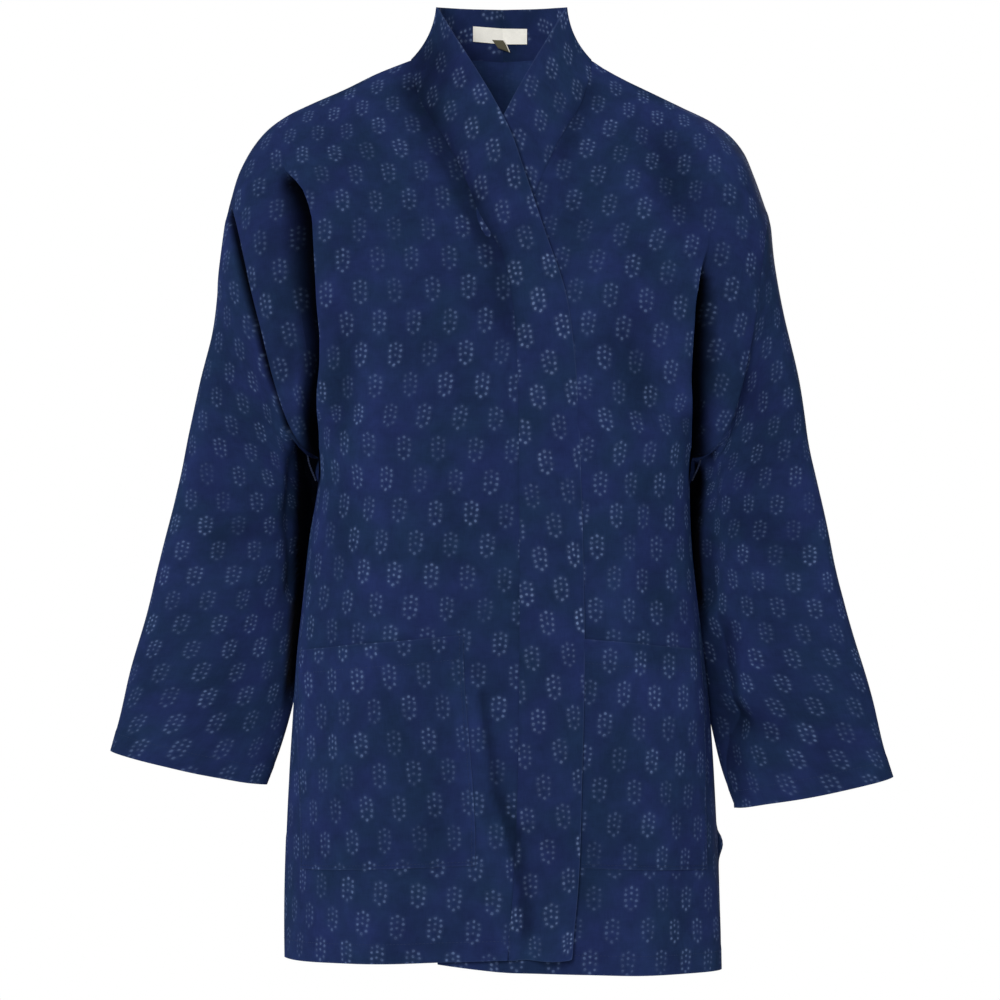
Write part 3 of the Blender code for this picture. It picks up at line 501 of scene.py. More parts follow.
def smooth_through(knots: Any, rows: Any, at: Any) -> np.ndarray:
    """Smooth curve through table rows at their knots, read at new places.

    Args:
        knots: Rising places of the rows.
        rows: One number or vector for each knot.
        at: Places to read.

    Returns:
        The curve's values at those places.
    """
    knots = np.asarray(knots, float)
    rows = np.asarray(rows, float)
    at = np.clip(np.asarray(at, float), knots[0], knots[-1])
    slopes = np.gradient(rows, knots, axis=0)
    step = np.clip(np.searchsorted(knots, at, side="right") - 1, 0, len(knots) - 2)
    span = knots[step + 1] - knots[step]
    share = (at - knots[step]) / span
    if rows.ndim > 1:
        span = span[:, None]
        share = share[:, None]
    start = rows[step] * (1 + 2 * share) * (1 - share) ** 2 + slopes[step] * span * share * (1 - share) ** 2
    end = rows[step + 1] * share**2 * (3 - 2 * share) - slopes[step + 1] * span * share**2 * (1 - share)
    return start + end


def column(rows: Sequence[Any], name: str, z: Any) -> np.ndarray:
    """One named column of a table whose rows go down in z, read at heights z."""
    down = [-row.z for row in rows]
    return smooth_through(down, [getattr(row, name) for row in rows], -np.atleast_1d(z))


def spot_values(spots: Sequence[Any], name: str, z: Any) -> np.ndarray:
    """One named column of spots that go down in z, read straight between them at heights z."""
    return np.interp(-z, [-spot.z for spot in spots], [getattr(spot, name) for spot in spots])


def spread(points: np.ndarray, shares: Any) -> np.ndarray:
    """Points at shares of a polyline's length."""
    lengths = np.linalg.norm(np.diff(points, axis=0), axis=1)
    reach = np.concatenate([[0.0], np.cumsum(lengths)])
    at = np.asarray(shares) * reach[-1]
    return np.column_stack([np.interp(at, reach, points[:, axis]) for axis in range(3)])


def through(points: Any, shares: Any, steps: int = 900) -> np.ndarray:
    """Smooth curve through a few points, read at shares of its length."""
    points = np.asarray(points, float)
    lengths = np.linalg.norm(np.diff(points, axis=0), axis=1)
    knots = np.concatenate([[0.0], np.cumsum(lengths)])
    dense = smooth_through(knots, points, np.linspace(0.0, knots[-1], steps))
    return spread(dense, shares)


def ease(value: Any, start: float, end: float) -> np.ndarray:
    """Smooth step from 0 at start to 1 at end."""
    share = np.clip((np.asarray(value, float) - start) / (end - start), 0.0, 1.0)
    return share * share * (3.0 - 2.0 * share)


def unit(vectors: np.ndarray) -> np.ndarray:
    """Vectors of length one."""
    return vectors / np.maximum(np.linalg.norm(vectors, axis=-1, keepdims=True), 1e-12)


def flatten_axis(vectors: np.ndarray, axis: int) -> np.ndarray:
    """Vectors turned into the plane across an axis."""
    flat = vectors.copy()
    flat[..., axis] = 0.0
    return unit(flat)


def crowd(count: int, start: bool = False, end: bool = False, pull: float = 0.66) -> np.ndarray:
    """Shares from 0 to 1 that lie closer together at the chosen ends.

    Args:
        count: Number of steps.
        start: Whether they crowd at 0.
        end: Whether they crowd at 1.
        pull: How strongly, from 0 to 1.

    Returns:
        The shares, one more than the steps.
    """
    even = np.linspace(0.0, 1.0, count + 1)
    if start and end:
        return (1 - pull) * even + pull * even**2 * (3 - 2 * even)
    if start:
        return (1 - pull) * even + pull * even**2
    if end:
        return (1 - pull) * even + pull * (1 - (1 - even) ** 2)
    return even


def sheet_normals(grid: np.ndarray, closed: bool = False) -> np.ndarray:
    """Directions out of the cloth, away from the upright axis or the ring's middle."""
    down = np.gradient(grid, axis=0)
    if closed:
        over = np.roll(grid, -1, axis=1) - np.roll(grid, 1, axis=1)
        middle = grid.mean(axis=1, keepdims=True)
    else:
        over = np.gradient(grid, axis=1)
        middle = grid * (0.0, 0.0, 1.0)
    normals = unit(np.cross(over, down))
    turned = np.sum(normals * (grid - middle)) < 0
    return -normals if turned else normals


@dataclass(frozen=True)
class Fineness:
    """Rows and columns of each part of the sheets."""

    yoke: int = 72
    chest: int = 40
    pocket: int = 44
    hem: int = 26
    inner: int = 14
    pocket_columns: int = 52
    outer: int = 30
    neck: int = 24
    shoulder: int = 28
    band: int = 12
    sleeve: int = 104
    settling: int = 40


@dataclass(frozen=True)
class JacketForm:
    """The jacket's worn form: its edges and the middle surfaces of its panels.

    Each sheet is a grid of points, rows from the top down and columns from the centre out.
    """

    fine: Fineness = field(default_factory=Fineness)
    underarm_z: float = -0.345
    ring_power: float = 2.4
    armhole_front_depth: float = 0.083
    armhole_back_depth: float = 0.080
    armhole_bow: tuple[float, float] = (0.018, 0.024)
    bow_peak: float = 1.3
    bow_drop: float = 0.44
    underarm_sag: float = 0.030
    sag_from: float = 0.80
    sag_ends: float = 0.16
    bowed_rings: int = 5
    left_neck_share: float = 0.96
    narrow_from_z: float = -0.200
    wrap_stand: float = 0.006
    wrap_across: tuple[float, float] = (-0.165, -0.085)
    wrap_down: tuple[float, float] = (-0.010, 0.045)
    tuck: float = 0.007
    tuck_down: tuple[float, float] = (0.070, 0.130)
    tuck_ends: float = 0.50
    shoulder_tilt: tuple[float, float] = (0.97, 0.24)
    front_groups: tuple[int, int, int] = (2, 12, 3)
    back_groups: tuple[int, int] = (6, 7)
    still_edge: float = 0.08
    band_crown: float = 0.003
    neck_side_crown: float = -0.005
    front_hem_z: tuple[float, float] = (-0.8420, -0.8530)
    back_hem_z: tuple[float, float] = (-0.8420, -0.8480)
    hem_slant: tuple[float, float] = (0.014, 0.012)
    under_hem_rise: float = 0.006
    pocket_top_z: float = -0.548
    pocket_bottom_z: float = -0.757
    pocket_slant: float = 0.028
    pocket_inner: float = 0.18
    pocket_outer: float = 0.84
    pocket_lean: float = 0.06
    arc_steps: int = 220

    def wrap_lift(self, side: Side, out_x: Any, z: Any) -> np.ndarray:
        """How far the top front stands out, from its own side to the wrap."""
        out_x = np.asarray(out_x, float)
        if side is Side.LEFT:
            return np.zeros_like(out_x)
        across = ease(-out_x, *self.wrap_across)
        return self.wrap_stand * across * ease(-np.asarray(z, float), *self.wrap_down)

    def under_tuck(self, z: Any) -> np.ndarray:
        """How far the under front's free edge lies behind its own surface."""
        return self.tuck * ease(-np.asarray(z, float), *self.tuck_down)

    def ring_points(self, side: Side, face: Face, z: Any, start_x: float, shares: Any) -> np.ndarray:
        """Points of the body's level arcs, each at its own height.

        Args:
            side: Side of the body.
            face: Front or back.
            z: Height of each arc.
            start_x: Where the arcs start, towards their own side.
            shares: Share of its arc's length for each point.

        Returns:
            One point for each height.
        """
        z = np.atleast_1d(np.asarray(z, float))
        shares = np.broadcast_to(np.asarray(shares, float), z.shape)
        own = column(RINGS, side.half, z)
        other = column(RINGS, side.other.half, z)
        depth = column(RINGS, "front_depth" if face is Face.FRONT else "back_depth", z)
        half = own if start_x >= 0 else other
        start = np.sign(start_x) * np.arcsin(np.minimum(1.0, abs(start_x) / half) ** (self.ring_power / 2))
        turn = start[:, None] + (np.pi / 2 - start)[:, None] * np.linspace(0.0, 1.0, self.arc_steps)
        sine = np.sin(turn)
        reach = np.where(sine >= 0, own[:, None], other[:, None])
        out_x = reach * np.sign(sine) * np.abs(sine) ** (2 / self.ring_power)
        y = face.value * depth[:, None] * np.abs(np.cos(turn)) ** (2 / self.ring_power)
        if face is Face.FRONT:
            y = y - self.wrap_lift(side, out_x, np.broadcast_to(z[:, None], out_x.shape))
        walk = np.cumsum(np.hypot(np.diff(out_x, axis=1), np.diff(y, axis=1)), axis=1)
        walk = np.concatenate([np.zeros((len(z), 1)), walk], axis=1)
        spots = [
            (np.interp(share * w[-1], w, x), np.interp(share * w[-1], w, d))
            for share, w, x, d in zip(shares, walk, out_x, y)
        ]
        spots = np.array(spots)
        return np.column_stack([side.value * spots[:, 0], spots[:, 1], z])

    def neck_curve(self, side: Side, edge: bool, shares: Any) -> np.ndarray:
        """Collar line from the centre back to the shoulder seam, at its sewn or free edge."""
        points = [place[3:] if edge else place[:3] for place in NECK_PLACES]
        return through(points, shares) * (side.value * side.pick((1.0, self.left_neck_share)), 1, 1)

    def front_curve(self, side: Side, edge: bool, shares: Any) -> np.ndarray:
        """Collar line from the shoulder seam down to the underarm level."""
        line = FRONT_LINES[0]
        last = self.ring_points(Side.LEFT, Face.FRONT, line.z, line.edge_x if edge else line.seam_x, 0.0)[0]
        points = [place[3:] if edge else place[:3] for place in FRONT_PLACES] + [tuple(last)]
        curve = through(points, shares)
        narrow = 1.0 - side.pick((1.0, self.left_neck_share))
        curve[:, 0] *= 1.0 - narrow * ease(curve[:, 2], self.narrow_from_z, FRONT_PLACES[0].seam_z)
        curve[:, 1] -= self.wrap_lift(side, curve[:, 0], curve[:, 2])
        if edge and side is Side.LEFT:
            curve[:, 1] += self.under_tuck(curve[:, 2])
        return curve * (side.value, 1, 1)

    def shoulder_curve(self, side: Side, shares: Any) -> np.ndarray:
        """Shoulder seam from the neck to the top of the sleeve."""
        if side is Side.RIGHT:
            points = [(place.right_x, 0.0, place.right_z) for place in SHOULDER]
        else:
            points = [(place.left_x, 0.0, place.left_z) for place in SHOULDER]
        return through(points, shares) * (side.value, 1, 1)

    def bow_share(self, along: np.ndarray, across: np.ndarray) -> np.ndarray:
        """Share of the armhole's bow round the sleeve: none at the shoulder or behind."""
        return np.where(across >= 0, across * (1 - along) / self.bow_peak, 0.0)

    def sag(self, z: Any, shares: Any) -> np.ndarray:
        """How far the cloth hangs below its level beside the underarm.

        Args:
            z: Level of the row.
            shares: Places across the row, 1 at the side seam.

        Returns:
            Drop of each point.
        """
        fade = ease(-np.asarray(z, float), self.sag_ends - self.underarm_z, -self.underarm_z)
        return self.underarm_sag * fade * ease(np.asarray(shares, float), self.sag_from, 1.0)

    def armhole(self, side: Side, turns: Any) -> tuple[np.ndarray, np.ndarray, np.ndarray]:
        """Armhole seam, with a turn of 0 at the shoulder and a quarter in front.

        Args:
            side: Side of the body.
            turns: Places round the seam.

        Returns:
            Points, directions out of the cloth, and directions along it away from the body.
        """
        turns = np.asarray(turns, float)
        top = self.shoulder_curve(side, [1.0])[0]
        low = self.ring_points(side, Face.FRONT, self.underarm_z, 0.0, 1.0)[0]
        along = np.cos(2 * np.pi * turns)[:, None]
        across = np.sin(2 * np.pi * turns)[:, None]
        depth = np.where(across >= 0, self.armhole_front_depth, self.armhole_back_depth)
        forward = np.array([0.0, -1.0, 0.0])
        sideways = side.pick(self.armhole_bow) * np.array([side.value, 0.0, -self.bow_drop])
        points = (top + low) / 2 + (top - low) / 2 * along + depth * across * forward
        points = points + self.bow_share(along, across) * sideways
        lowest = self.ring_points(side, Face.FRONT, self.underarm_z - self.underarm_sag, 0.0, 1.0)[0]
        points = points + (lowest - low) * ease(-along, 0.0, 1.0)
        at_top = np.array([side.value * self.shoulder_tilt[0], 0.0, self.shoulder_tilt[1]])
        at_low = np.array([0.0, 0.0, 1.0])
        outward = np.where(along >= 0, along * at_top, along * at_low) - across * np.array([0.0, 1.0, 0.0])
        outward = unit(outward)
        bow_turn = np.where(across >= 0, (1 + along - 2 * along**2) / self.bow_peak, 0.0)
        tangent = (low - top) / 2 * across + depth * along * forward + bow_turn * sideways
        away = unit(np.cross(tangent, outward)) * -side.value
        return points, outward, away

    def patch(self, edges: Sequence[np.ndarray], down: np.ndarray, over: np.ndarray) -> np.ndarray:
        """Sheet of points filled in between its four edges.

        Args:
            edges: Top, bottom, inner and outer edge.
            down: Share of each row from the top.
            over: Share of each column from the inner edge.

        Returns:
            The grid.
        """
        top, bottom, inner, outer = edges
        down = down[:, None, None]
        over = over[None, :, None]
        rows = (1 - down) * top[None] + down * bottom[None]
        columns = (1 - over) * inner[:, None] + over * outer[:, None]
        corners = (
            (1 - down) * (1 - over) * top[0]
            + (1 - down) * over * top[-1]
            + down * (1 - over) * bottom[0]
            + down * over * bottom[-1]
        )
        return rows + columns - corners

    @property
    def steps(self) -> np.ndarray:
        """Shares of the rows from the shoulder to the underarm, closer at both seams."""
        return crowd(self.fine.yoke, start=True, end=True, pull=0.45)

    def front_shares(self, z: float) -> tuple[np.ndarray, np.ndarray]:
        """Places across a front at a height, with lines on the pocket's two sides.

        Args:
            z: Height of the row.

        Returns:
            Shares of the row's length, and even shares by column group.
        """
        lean = self.pocket_lean * float(ease(-z, -self.pocket_top_z, -self.pocket_bottom_z))
        inner = self.pocket_inner - lean
        outer = self.pocket_outer - lean
        first = crowd(self.fine.inner, start=True, end=True)
        middle = crowd(self.fine.pocket_columns, start=True, end=True, pull=0.4)
        last = crowd(self.fine.outer, start=True, end=True)
        shares = [first[:-1] * inner, inner + middle[:-1] * (outer - inner), outer + last * (1.0 - outer)]
        lead, wide, tail = self.front_groups
        even = [first[:-1] * lead, lead + middle[:-1] * wide, lead + wide + last * tail]
        return np.concatenate(shares), np.concatenate(even) / sum(self.front_groups)

    def lower_heights(self, hem_z: float) -> np.ndarray:
        """Heights of the rows below the underarm, with lines on the pocket's top and bottom."""
        chest = crowd(self.fine.chest, end=True, pull=0.4)[1:]
        pocket = crowd(self.fine.pocket, start=True, end=True, pull=0.4)[1:]
        hem = crowd(self.fine.hem, start=True, end=True, pull=0.4)[1:]
        return np.concatenate(
            [
                self.underarm_z + chest * (self.pocket_top_z - self.underarm_z),
                self.pocket_top_z + pocket * (self.pocket_bottom_z - self.pocket_top_z),
                self.pocket_bottom_z + hem * (hem_z - self.pocket_bottom_z),
            ]
        )

    def slant(self, side: Side, z: Any) -> np.ndarray:
        """How much lower a front's row lies at the side than at the band."""
        above = ease(-np.asarray(z), -self.underarm_z, -self.pocket_top_z)
        below = ease(-np.asarray(z), -self.pocket_top_z, -side.pick(self.front_hem_z))
        return self.pocket_slant * above * (1.0 - below) + side.pick(self.hem_slant) * below

    def settle(self, grid: np.ndarray, over: np.ndarray) -> np.ndarray:
        """Even out the rows of a sheet, with its edges kept."""
        smooth = grid.copy()
        for _ in range(self.fine.settling):
            smooth[1:-1] = (smooth[:-2] + 2 * smooth[1:-1] + smooth[2:]) / 4
        inside = ease(np.minimum(over, 1 - over), 0.0, self.still_edge)[None, :, None]
        return grid + (smooth - grid) * inside

    def front_sheet(self, side: Side) -> np.ndarray:
        """Middle surface of a front, from its band seam to the armhole and side seam."""
        shares, over = self.front_shares(self.underarm_z)
        level = self.underarm_z - self.sag(self.underarm_z, shares)
        edges = (
            self.shoulder_curve(side, shares),
            self.ring_points(side, Face.FRONT, level, FRONT_LINES[0].seam_x, shares),
            self.front_curve(side, False, self.steps),
            self.armhole(side, self.steps / 2)[0],
        )
        rows = [self.patch(edges, self.steps, over)]
        heights = self.lower_heights(side.pick(self.front_hem_z))
        for z, seam in zip(heights, column(FRONT_LINES, "seam_x", heights)):
            shares, over = self.front_shares(z)
            levels = z + self.slant(side, z) * (0.5 - shares) - self.sag(z, shares)
            rows.append(self.ring_points(side, Face.FRONT, levels, seam, shares)[None])
        return self.follow_tuck(side, self.settle(np.concatenate(rows), over))

    @property
    def tuck_column(self) -> int:
        """Column of a front that follows the edge of its tuck, and the pocket's side below."""
        return self.fine.inner + self.fine.pocket_columns

    def follow_tuck(self, side: Side, grid: np.ndarray) -> np.ndarray:
        """Slide a front's points along their rows until one column lies on the tuck's edge.

        Args:
            side: Side of the body.
            grid: Points of the front.

        Returns:
            The same surface with its points moved.
        """
        at = self.tuck_column
        reach = Sheet.walk(grid, Edge.INNER)
        moved = grid.copy()
        held = reach[:, at] / reach[:, -1]
        shares = held.copy()
        for row in range(self.fine.yoke + 1):
            beyond = np.abs(grid[row, :, 0]) - spot_values(TUCKS[side], "x", grid[row, :, 2])
            first = int(np.argmax(beyond > 0))
            part = beyond[first - 1] / (beyond[first - 1] - beyond[first])
            step = reach[row, first] - reach[row, first - 1]
            shares[row] = (reach[row, first - 1] + part * step) / reach[row, -1]
        low = ease(-grid[self.fine.yoke :, at, 2], -self.underarm_z, self.tuck_ends)
        shares[self.fine.yoke :] = shares[self.fine.yoke] * (1 - low) + held[self.fine.yoke :] * low
        for row, share in enumerate(shares):
            inner = reach[row, : at + 1] / reach[row, at] * share
            outer = (reach[row, at + 1 :] - reach[row, at]) / (reach[row, -1] - reach[row, at])
            moved[row] = spread(grid[row], np.concatenate([inner, share + outer * (1 - share)]))
        return moved

    def back_shares(self) -> np.ndarray:
        """Shares of a back's columns, closer at the centre seam and the sleeve."""
        neck = crowd(self.fine.neck, start=True)
        shoulder = crowd(self.fine.shoulder, end=True)
        lead, tail = self.back_groups
        return np.concatenate([neck[:-1] * lead, lead + shoulder * tail]) / sum(self.back_groups)

    def back_sheet(self, side: Side) -> np.ndarray:
        """Middle surface of half the back, from the centre seam to the armhole and side seam."""
        shares = self.back_shares()
        level = self.underarm_z - self.sag(self.underarm_z, shares)
        neck = self.neck_curve(side, False, crowd(self.fine.neck, start=True))
        shoulder = self.shoulder_curve(side, crowd(self.fine.shoulder, end=True))
        edges = (
            np.concatenate([neck, shoulder[1:]]),
            self.ring_points(side, Face.BACK, level, 0.0, shares),
            through([(0.0, y, z) for y, z in CENTRE_BACK], self.steps),
            self.armhole(side, -self.steps / 2)[0],
        )
        rows = [self.patch(edges, self.steps, shares)]
        hem_z = side.pick(self.back_hem_z)
        level_off = sum(self.back_hem_z) / 2 - hem_z
        for z in self.lower_heights(hem_z):
            near = level_off * ease(-z, -self.pocket_bottom_z, -hem_z) * (1.0 - shares)
            rows.append(self.ring_points(side, Face.BACK, z - self.sag(z, shares) + near, 0.0, shares)[None])
        return self.settle(np.concatenate(rows), shares)

    def band_sheet(self, side: Side) -> np.ndarray:
        """Middle surface of half the band, from the centre back round the neck to the hem."""
        neck = crowd(self.fine.neck, start=True)
        hem_z = side.pick(self.front_hem_z)
        heights = self.lower_heights(hem_z)
        levels = heights + self.slant(side, heights) * 0.5
        lines = []
        for edge, name in ((False, "seam_x"), (True, "edge_x")):
            places = zip(levels, column(FRONT_LINES, name, heights))
            low = np.concatenate([self.ring_points(side, Face.FRONT, z, x, 0.0) for z, x in places])
            if edge and side is Side.LEFT:
                low[:, 1] += self.tuck
                low[:, 2] += self.under_hem_rise * ease(-heights, -self.pocket_bottom_z, -hem_z)
            upper = self.front_curve(side, edge, self.steps)
            lines.append(np.concatenate([self.neck_curve(side, edge, neck), upper[1:], low]))
        over = crowd(self.fine.band, start=True, end=True, pull=0.5)[None, :, None]
        sheet = lines[0][:, None] * (1 - over) + lines[1][:, None] * over
        down_front = ease(-lines[0][self.fine.neck + 1 :, 2], 0.0, 0.100)
        front_crown = self.neck_side_crown + (self.band_crown - self.neck_side_crown) * down_front
        crown = np.concatenate([self.neck_side_crown * neck, front_crown])
        return sheet + crown[:, None, None] * 4 * over * (1 - over) * sheet_normals(sheet)

    @property
    def turns(self) -> np.ndarray:
        """Places round a sleeve, at the same points as the armhole's rows."""
        front = self.steps / 2
        return np.concatenate([front, 1 - front[-2:0:-1]])

    def sleeve_sheet(self, side: Side) -> np.ndarray:
        """Middle surface of a sleeve, ring by ring from the armhole to the cuff."""
        along = np.cos(2 * np.pi * self.turns)[:, None]
        across = np.sin(2 * np.pi * self.turns)[:, None]
        rings = [self.armhole(side, self.turns)[0]]
        for count, ring in enumerate(SLEEVE_RINGS[side], start=1):
            outer = np.array([side.value * ring.outer_x, ring.outer_y, ring.outer_z])
            inner = np.array([side.value * ring.inner_x, ring.inner_y, ring.inner_z])
            oval = (outer + inner) / 2 + (outer - inner) / 2 * along
            oval = oval + across * np.array([0.0, -ring.half_depth, 0.0])
            near = max(0.0, 1.0 - count / self.bowed_rings)
            bow = side.pick(self.armhole_bow) * near
            oval = oval + self.bow_share(along, across) * bow * np.array([side.value, 0.0, -self.bow_drop])
            rings.append(oval - ease(-along, 0.0, 1.0) * np.array([0.0, 0.0, self.underarm_sag * near]))
        stack = np.array(rings)
        drop = np.linalg.norm(np.diff(stack.mean(axis=1), axis=0), axis=1)
        knots = np.concatenate([[0.0], np.cumsum(drop)])
        places = crowd(self.fine.sleeve, start=True, end=True, pull=0.78) * knots[-1]
        flat = smooth_through(knots, stack.reshape(len(stack), -1), places)
        return flat.reshape(len(places), len(self.turns), 3)


@dataclass
class Sheet:
    """One piece of cloth: a grid of middle points, directions out of it, and its edges.

    Attributes:
        grid: Points, rows by columns.
        normals: Direction out of the cloth at each point.
        sewn: Distance of each point from the nearest sewn edge.
        free: Distance of each point from the nearest free edge.
        closed: Whether the last column joins the first.
        shade: Painted shade, a factor on the colour at each point, less in the folds, tucks and grooves.
    """

    grid: np.ndarray
    normals: np.ndarray
    sewn: np.ndarray
    free: np.ndarray
    closed: bool = False
    shade: np.ndarray | None = None

    @staticmethod
    def walk(grid: np.ndarray, edge: Edge) -> np.ndarray:
        """Distance of each point from one edge, along the cloth."""
        axis, far = edge.value
        steps = np.linalg.norm(np.diff(grid, axis=axis), axis=-1)
        none = np.zeros_like(steps.take([0], axis=axis))
        reach = np.concatenate([none, np.cumsum(steps, axis=axis)], axis=axis)
        return reach.take([-1], axis=axis) - reach if far else reach

    def line(self, edge: Edge, distance: float, lift: float) -> np.ndarray:
        """Line on the cloth at a distance from one edge.

        Args:
            edge: The edge.
            distance: How far in from it.
            lift: How far out of the middle surface.

        Returns:
            One point for each row or column that meets the edge.
        """
        axis, far = edge.value
        reach = self.walk(self.grid, edge)
        face = self.grid + self.normals * lift
        if axis == 1:
            reach = reach.T
            face = face.swapaxes(0, 1)
        if far:
            reach = reach[::-1]
            face = face[::-1]
        spots = [
            [np.interp(distance, reach[:, k], face[:, k, part]) for part in range(3)]
            for k in range(reach.shape[1])
        ]
        return np.array(spots)


@dataclass(frozen=True)
class Drape:
    """Creases and swells of one named piece, kept away from its sewn edges."""

    name: str
    fade: float = 0.014
    bank: float = 0.35
    bank_off: float = 2.1
    taper: float = 0.45
    swell_round: tuple[float, float] = (0.17, 0.06)
    swell_length: float = 0.85
    swell_power: float = 1.5
    wander: tuple[float, float] = (0.8, 7.3)
    pinch: float = 0.0003
    pinch_width: float = 0.0035
    tuck_lip: float = 0.0022
    tuck_lean: float = 0.20
    tuck_room: float = 0.95
    tuck_power: float = 1.2
    # tuck_deep, lip_dark, dark_ends, gulf_deep, gulf_dark and gloom set the shade painted into the tucks and
    # gulfs.
    tuck_deep: tuple[float, float] = (0.002, 0.015)
    lean_z: tuple[float, float] = (-0.325, -0.265)
    lip_dark: float = 0.12
    dark_ends: tuple[float, float] = (1.4, 0.4)
    gulf_fade: tuple[float, float] = (0.006, 0.045)
    gulf_least: float = 0.006
    gulf_start: float = -0.05
    gulf_room: float = 0.7
    gulf_deep: tuple[float, float] = (0.002, 0.024)
    gulf_dark: tuple[float, float] = (0.02, 0.28)
    gloom: float = 0.965
    # Painted shade of the folds: how far a fold's depth darkens the colour in troughs and lightens it on
    # ridges, and the limits.
    wear: float = 42.0
    main_wear: float = 0.25
    fold_shade_limits: tuple[float, float] = (-0.10, 0.36)
    # Painted shade along the armhole groove, and its limit.
    groove_wear: float = 190.0
    groove_limit: float = 0.93

    def press(
        self, grid: np.ndarray, folds: Sequence[Fold], normals: np.ndarray, strongest: bool
    ) -> np.ndarray:
        """Depth of a set of folds at each point.

        Args:
            grid: Middle points.
            folds: The folds.
            normals: Directions out of the cloth.
            strongest: Whether the deepest fold counts at a point, or their sum.

        Returns:
            Depths, positive into the cloth.
        """
        total = np.zeros(grid.shape[:2])
        for fold in folds:
            start = np.array([fold.from_x, fold.from_z])
            run = np.array([fold.to_x, fold.to_z]) - start
            offset = grid[..., [0, 2]] - start
            share = np.clip(offset @ run / (run @ run), 0.0, 1.0)
            distance = np.linalg.norm(offset - share[..., None] * run, axis=-1)
            facing = np.sqrt(np.clip(normals[..., 1] * fold.face.value, 0.0, 1.0))
            trough = fold.depth * np.exp(-((distance / fold.width) ** 2)) * facing
            if strongest:
                total = np.where(np.abs(trough) > np.abs(total), trough, total)
            else:
                beside = (distance - self.bank_off * fold.width) / fold.width
                bank = self.bank * fold.depth * np.exp(-(beside**2)) * facing
                total = total + trough * (1 - self.taper + self.taper * np.sin(np.pi * share)) - bank
        return total

    def swell(self, grid: np.ndarray) -> np.ndarray:
        """Height of the slow swells at each point."""
        sleeve = self.name.startswith("sleeve")
        spoke = grid - grid.mean(axis=1, keepdims=True) if sleeve else grid
        around = np.arctan2(spoke[..., 1], spoke[..., 0]) * self.swell_round[sleeve]
        z = grid[..., 2]
        down = np.clip(-z / self.swell_length, 0.0, 1.0)
        total = np.zeros(grid.shape[:2])
        far, often = self.wander
        for wave in SWELLS[self.name]:
            height = wave.top + (wave.hem - wave.top) * down**self.swell_power
            angle = 2 * np.pi * (around / wave.across + z / wave.down) + wave.phase
            total = total + height * np.sin(angle + far * np.sin(often * z + wave.phase))
        return total

    def wear_and_shade(self, depth: np.ndarray) -> np.ndarray:
        """Factor on the colour for a depth of fold: painted shade, darker in troughs and lighter on ridges.
        """
        return 1 - np.clip(self.wear * depth, *self.fold_shade_limits)

    def lay(self, grid: np.ndarray, sewn: np.ndarray, closed: bool = False) -> tuple[np.ndarray, np.ndarray]:
        """Press the piece's folds, creases and swells into its sheet.

        Args:
            grid: Middle points of the smooth form.
            sewn: Distance from the sewn edges.
            closed: Whether the sheet is a tube.

        Returns:
            The draped grid and its painted shade.
        """
        normals = sheet_normals(grid, closed)
        main = self.press(grid, MAIN_FOLDS[self.name], normals, True)
        lesser = self.press(grid, CREASES[self.name], normals, False)
        near = ease(sewn, 0.0, self.fade)
        depth = main + lesser - self.swell(grid)
        # The second value is painted shade: the colour darkened in the folds' troughs and lightened on their
        # ridges.
        return grid - normals * (depth * near)[..., None], self.wear_and_shade((main * self.main_wear + lesser) * near)

    def tuck(self, grid: np.ndarray, side: Side, form: JacketForm) -> tuple[np.ndarray, np.ndarray]:
        """Fold a front back under itself beside the arm.

        Args:
            grid: Points of the front.
            side: Side of the body.
            form: The jacket's form.

        Returns:
            The tucked grid and its painted shade.
        """
        at = form.tuck_column
        rows = slice(0, form.fine.yoke + form.fine.chest + 1)
        lip_z = grid[rows, at, 2]
        depth, wide, dark = (
            spot_values(TUCKS[side], name, lip_z)[:, None] for name in ("depth", "wide", "dark")
        )
        reach = Sheet.walk(grid[rows], Edge.INNER)
        past = np.clip(reach - reach[:, at : at + 1], 0.0, None)
        wide = np.minimum(wide, self.tuck_room * past[:, -1:])
        share = ease(past, 0.0, self.tuck_lip) * (1 - np.clip(past / wide, 0.0, 1.0)) ** self.tuck_power
        moved = grid.copy()
        moved[rows, :, 1] += depth * share
        lean = self.tuck_lean * ease(lip_z, *self.lean_z)[:, None]
        moved[rows, :, 0] -= side.value * lean * depth * share
        # Painted shade: the inside of the tuck is darkened in the colour, deepest behind its lip.
        beside = np.abs(grid[rows, :, 0]) - np.abs(grid[rows, at : at + 1, 0])
        inside = ease(beside, self.dark_ends[0] * dark, self.dark_ends[1] * dark)
        gloom = np.where(past < self.tuck_lip, ease(share, 0.0, self.lip_dark), inside) * (past > 0)
        shade = np.ones(grid.shape[:2])
        shade[rows] -= self.gloom * ease(depth, *self.tuck_deep) * gloom
        return moved, shade

    def gulf(self, grid: np.ndarray, side: Side, sewn: np.ndarray) -> tuple[np.ndarray, np.ndarray]:
        """Turn the front of a sleeve steeply back beside the body.

        Args:
            grid: Points of the sleeve.
            side: Side of the body.
            sewn: Distance from the armhole.

        Returns:
            The turned grid and its painted shade.
        """
        z = grid[..., 2]
        turn = spot_values(GULFS[side], "x", z)
        depth = spot_values(GULFS[side], "depth", z)
        body = column(RINGS, side.half, z.ravel()).reshape(z.shape)
        share = (turn - np.abs(grid[..., 0])) / np.maximum(turn - body, self.gulf_least)
        share = np.clip(share, 0.0, 1.0)
        share[:, grid.shape[1] // 2 :] = 0.0
        share = ease(share, self.gulf_start, 1.0) * ease(sewn, 0.0, side.pick(self.gulf_fade))
        back = np.roll(grid[:, ::-1], 1, axis=1)[..., 1]
        room = np.clip(back - grid[..., 1], 0.0, None)
        moved = grid.copy()
        moved[..., 1] += np.minimum(depth * share, self.gulf_room * room)
        # Painted shade: the sleeve's side that turns back beside the body is darkened in the colour.
        return moved, 1 - self.gloom * ease(depth, *self.gulf_deep) * ease(share, *self.gulf_dark)

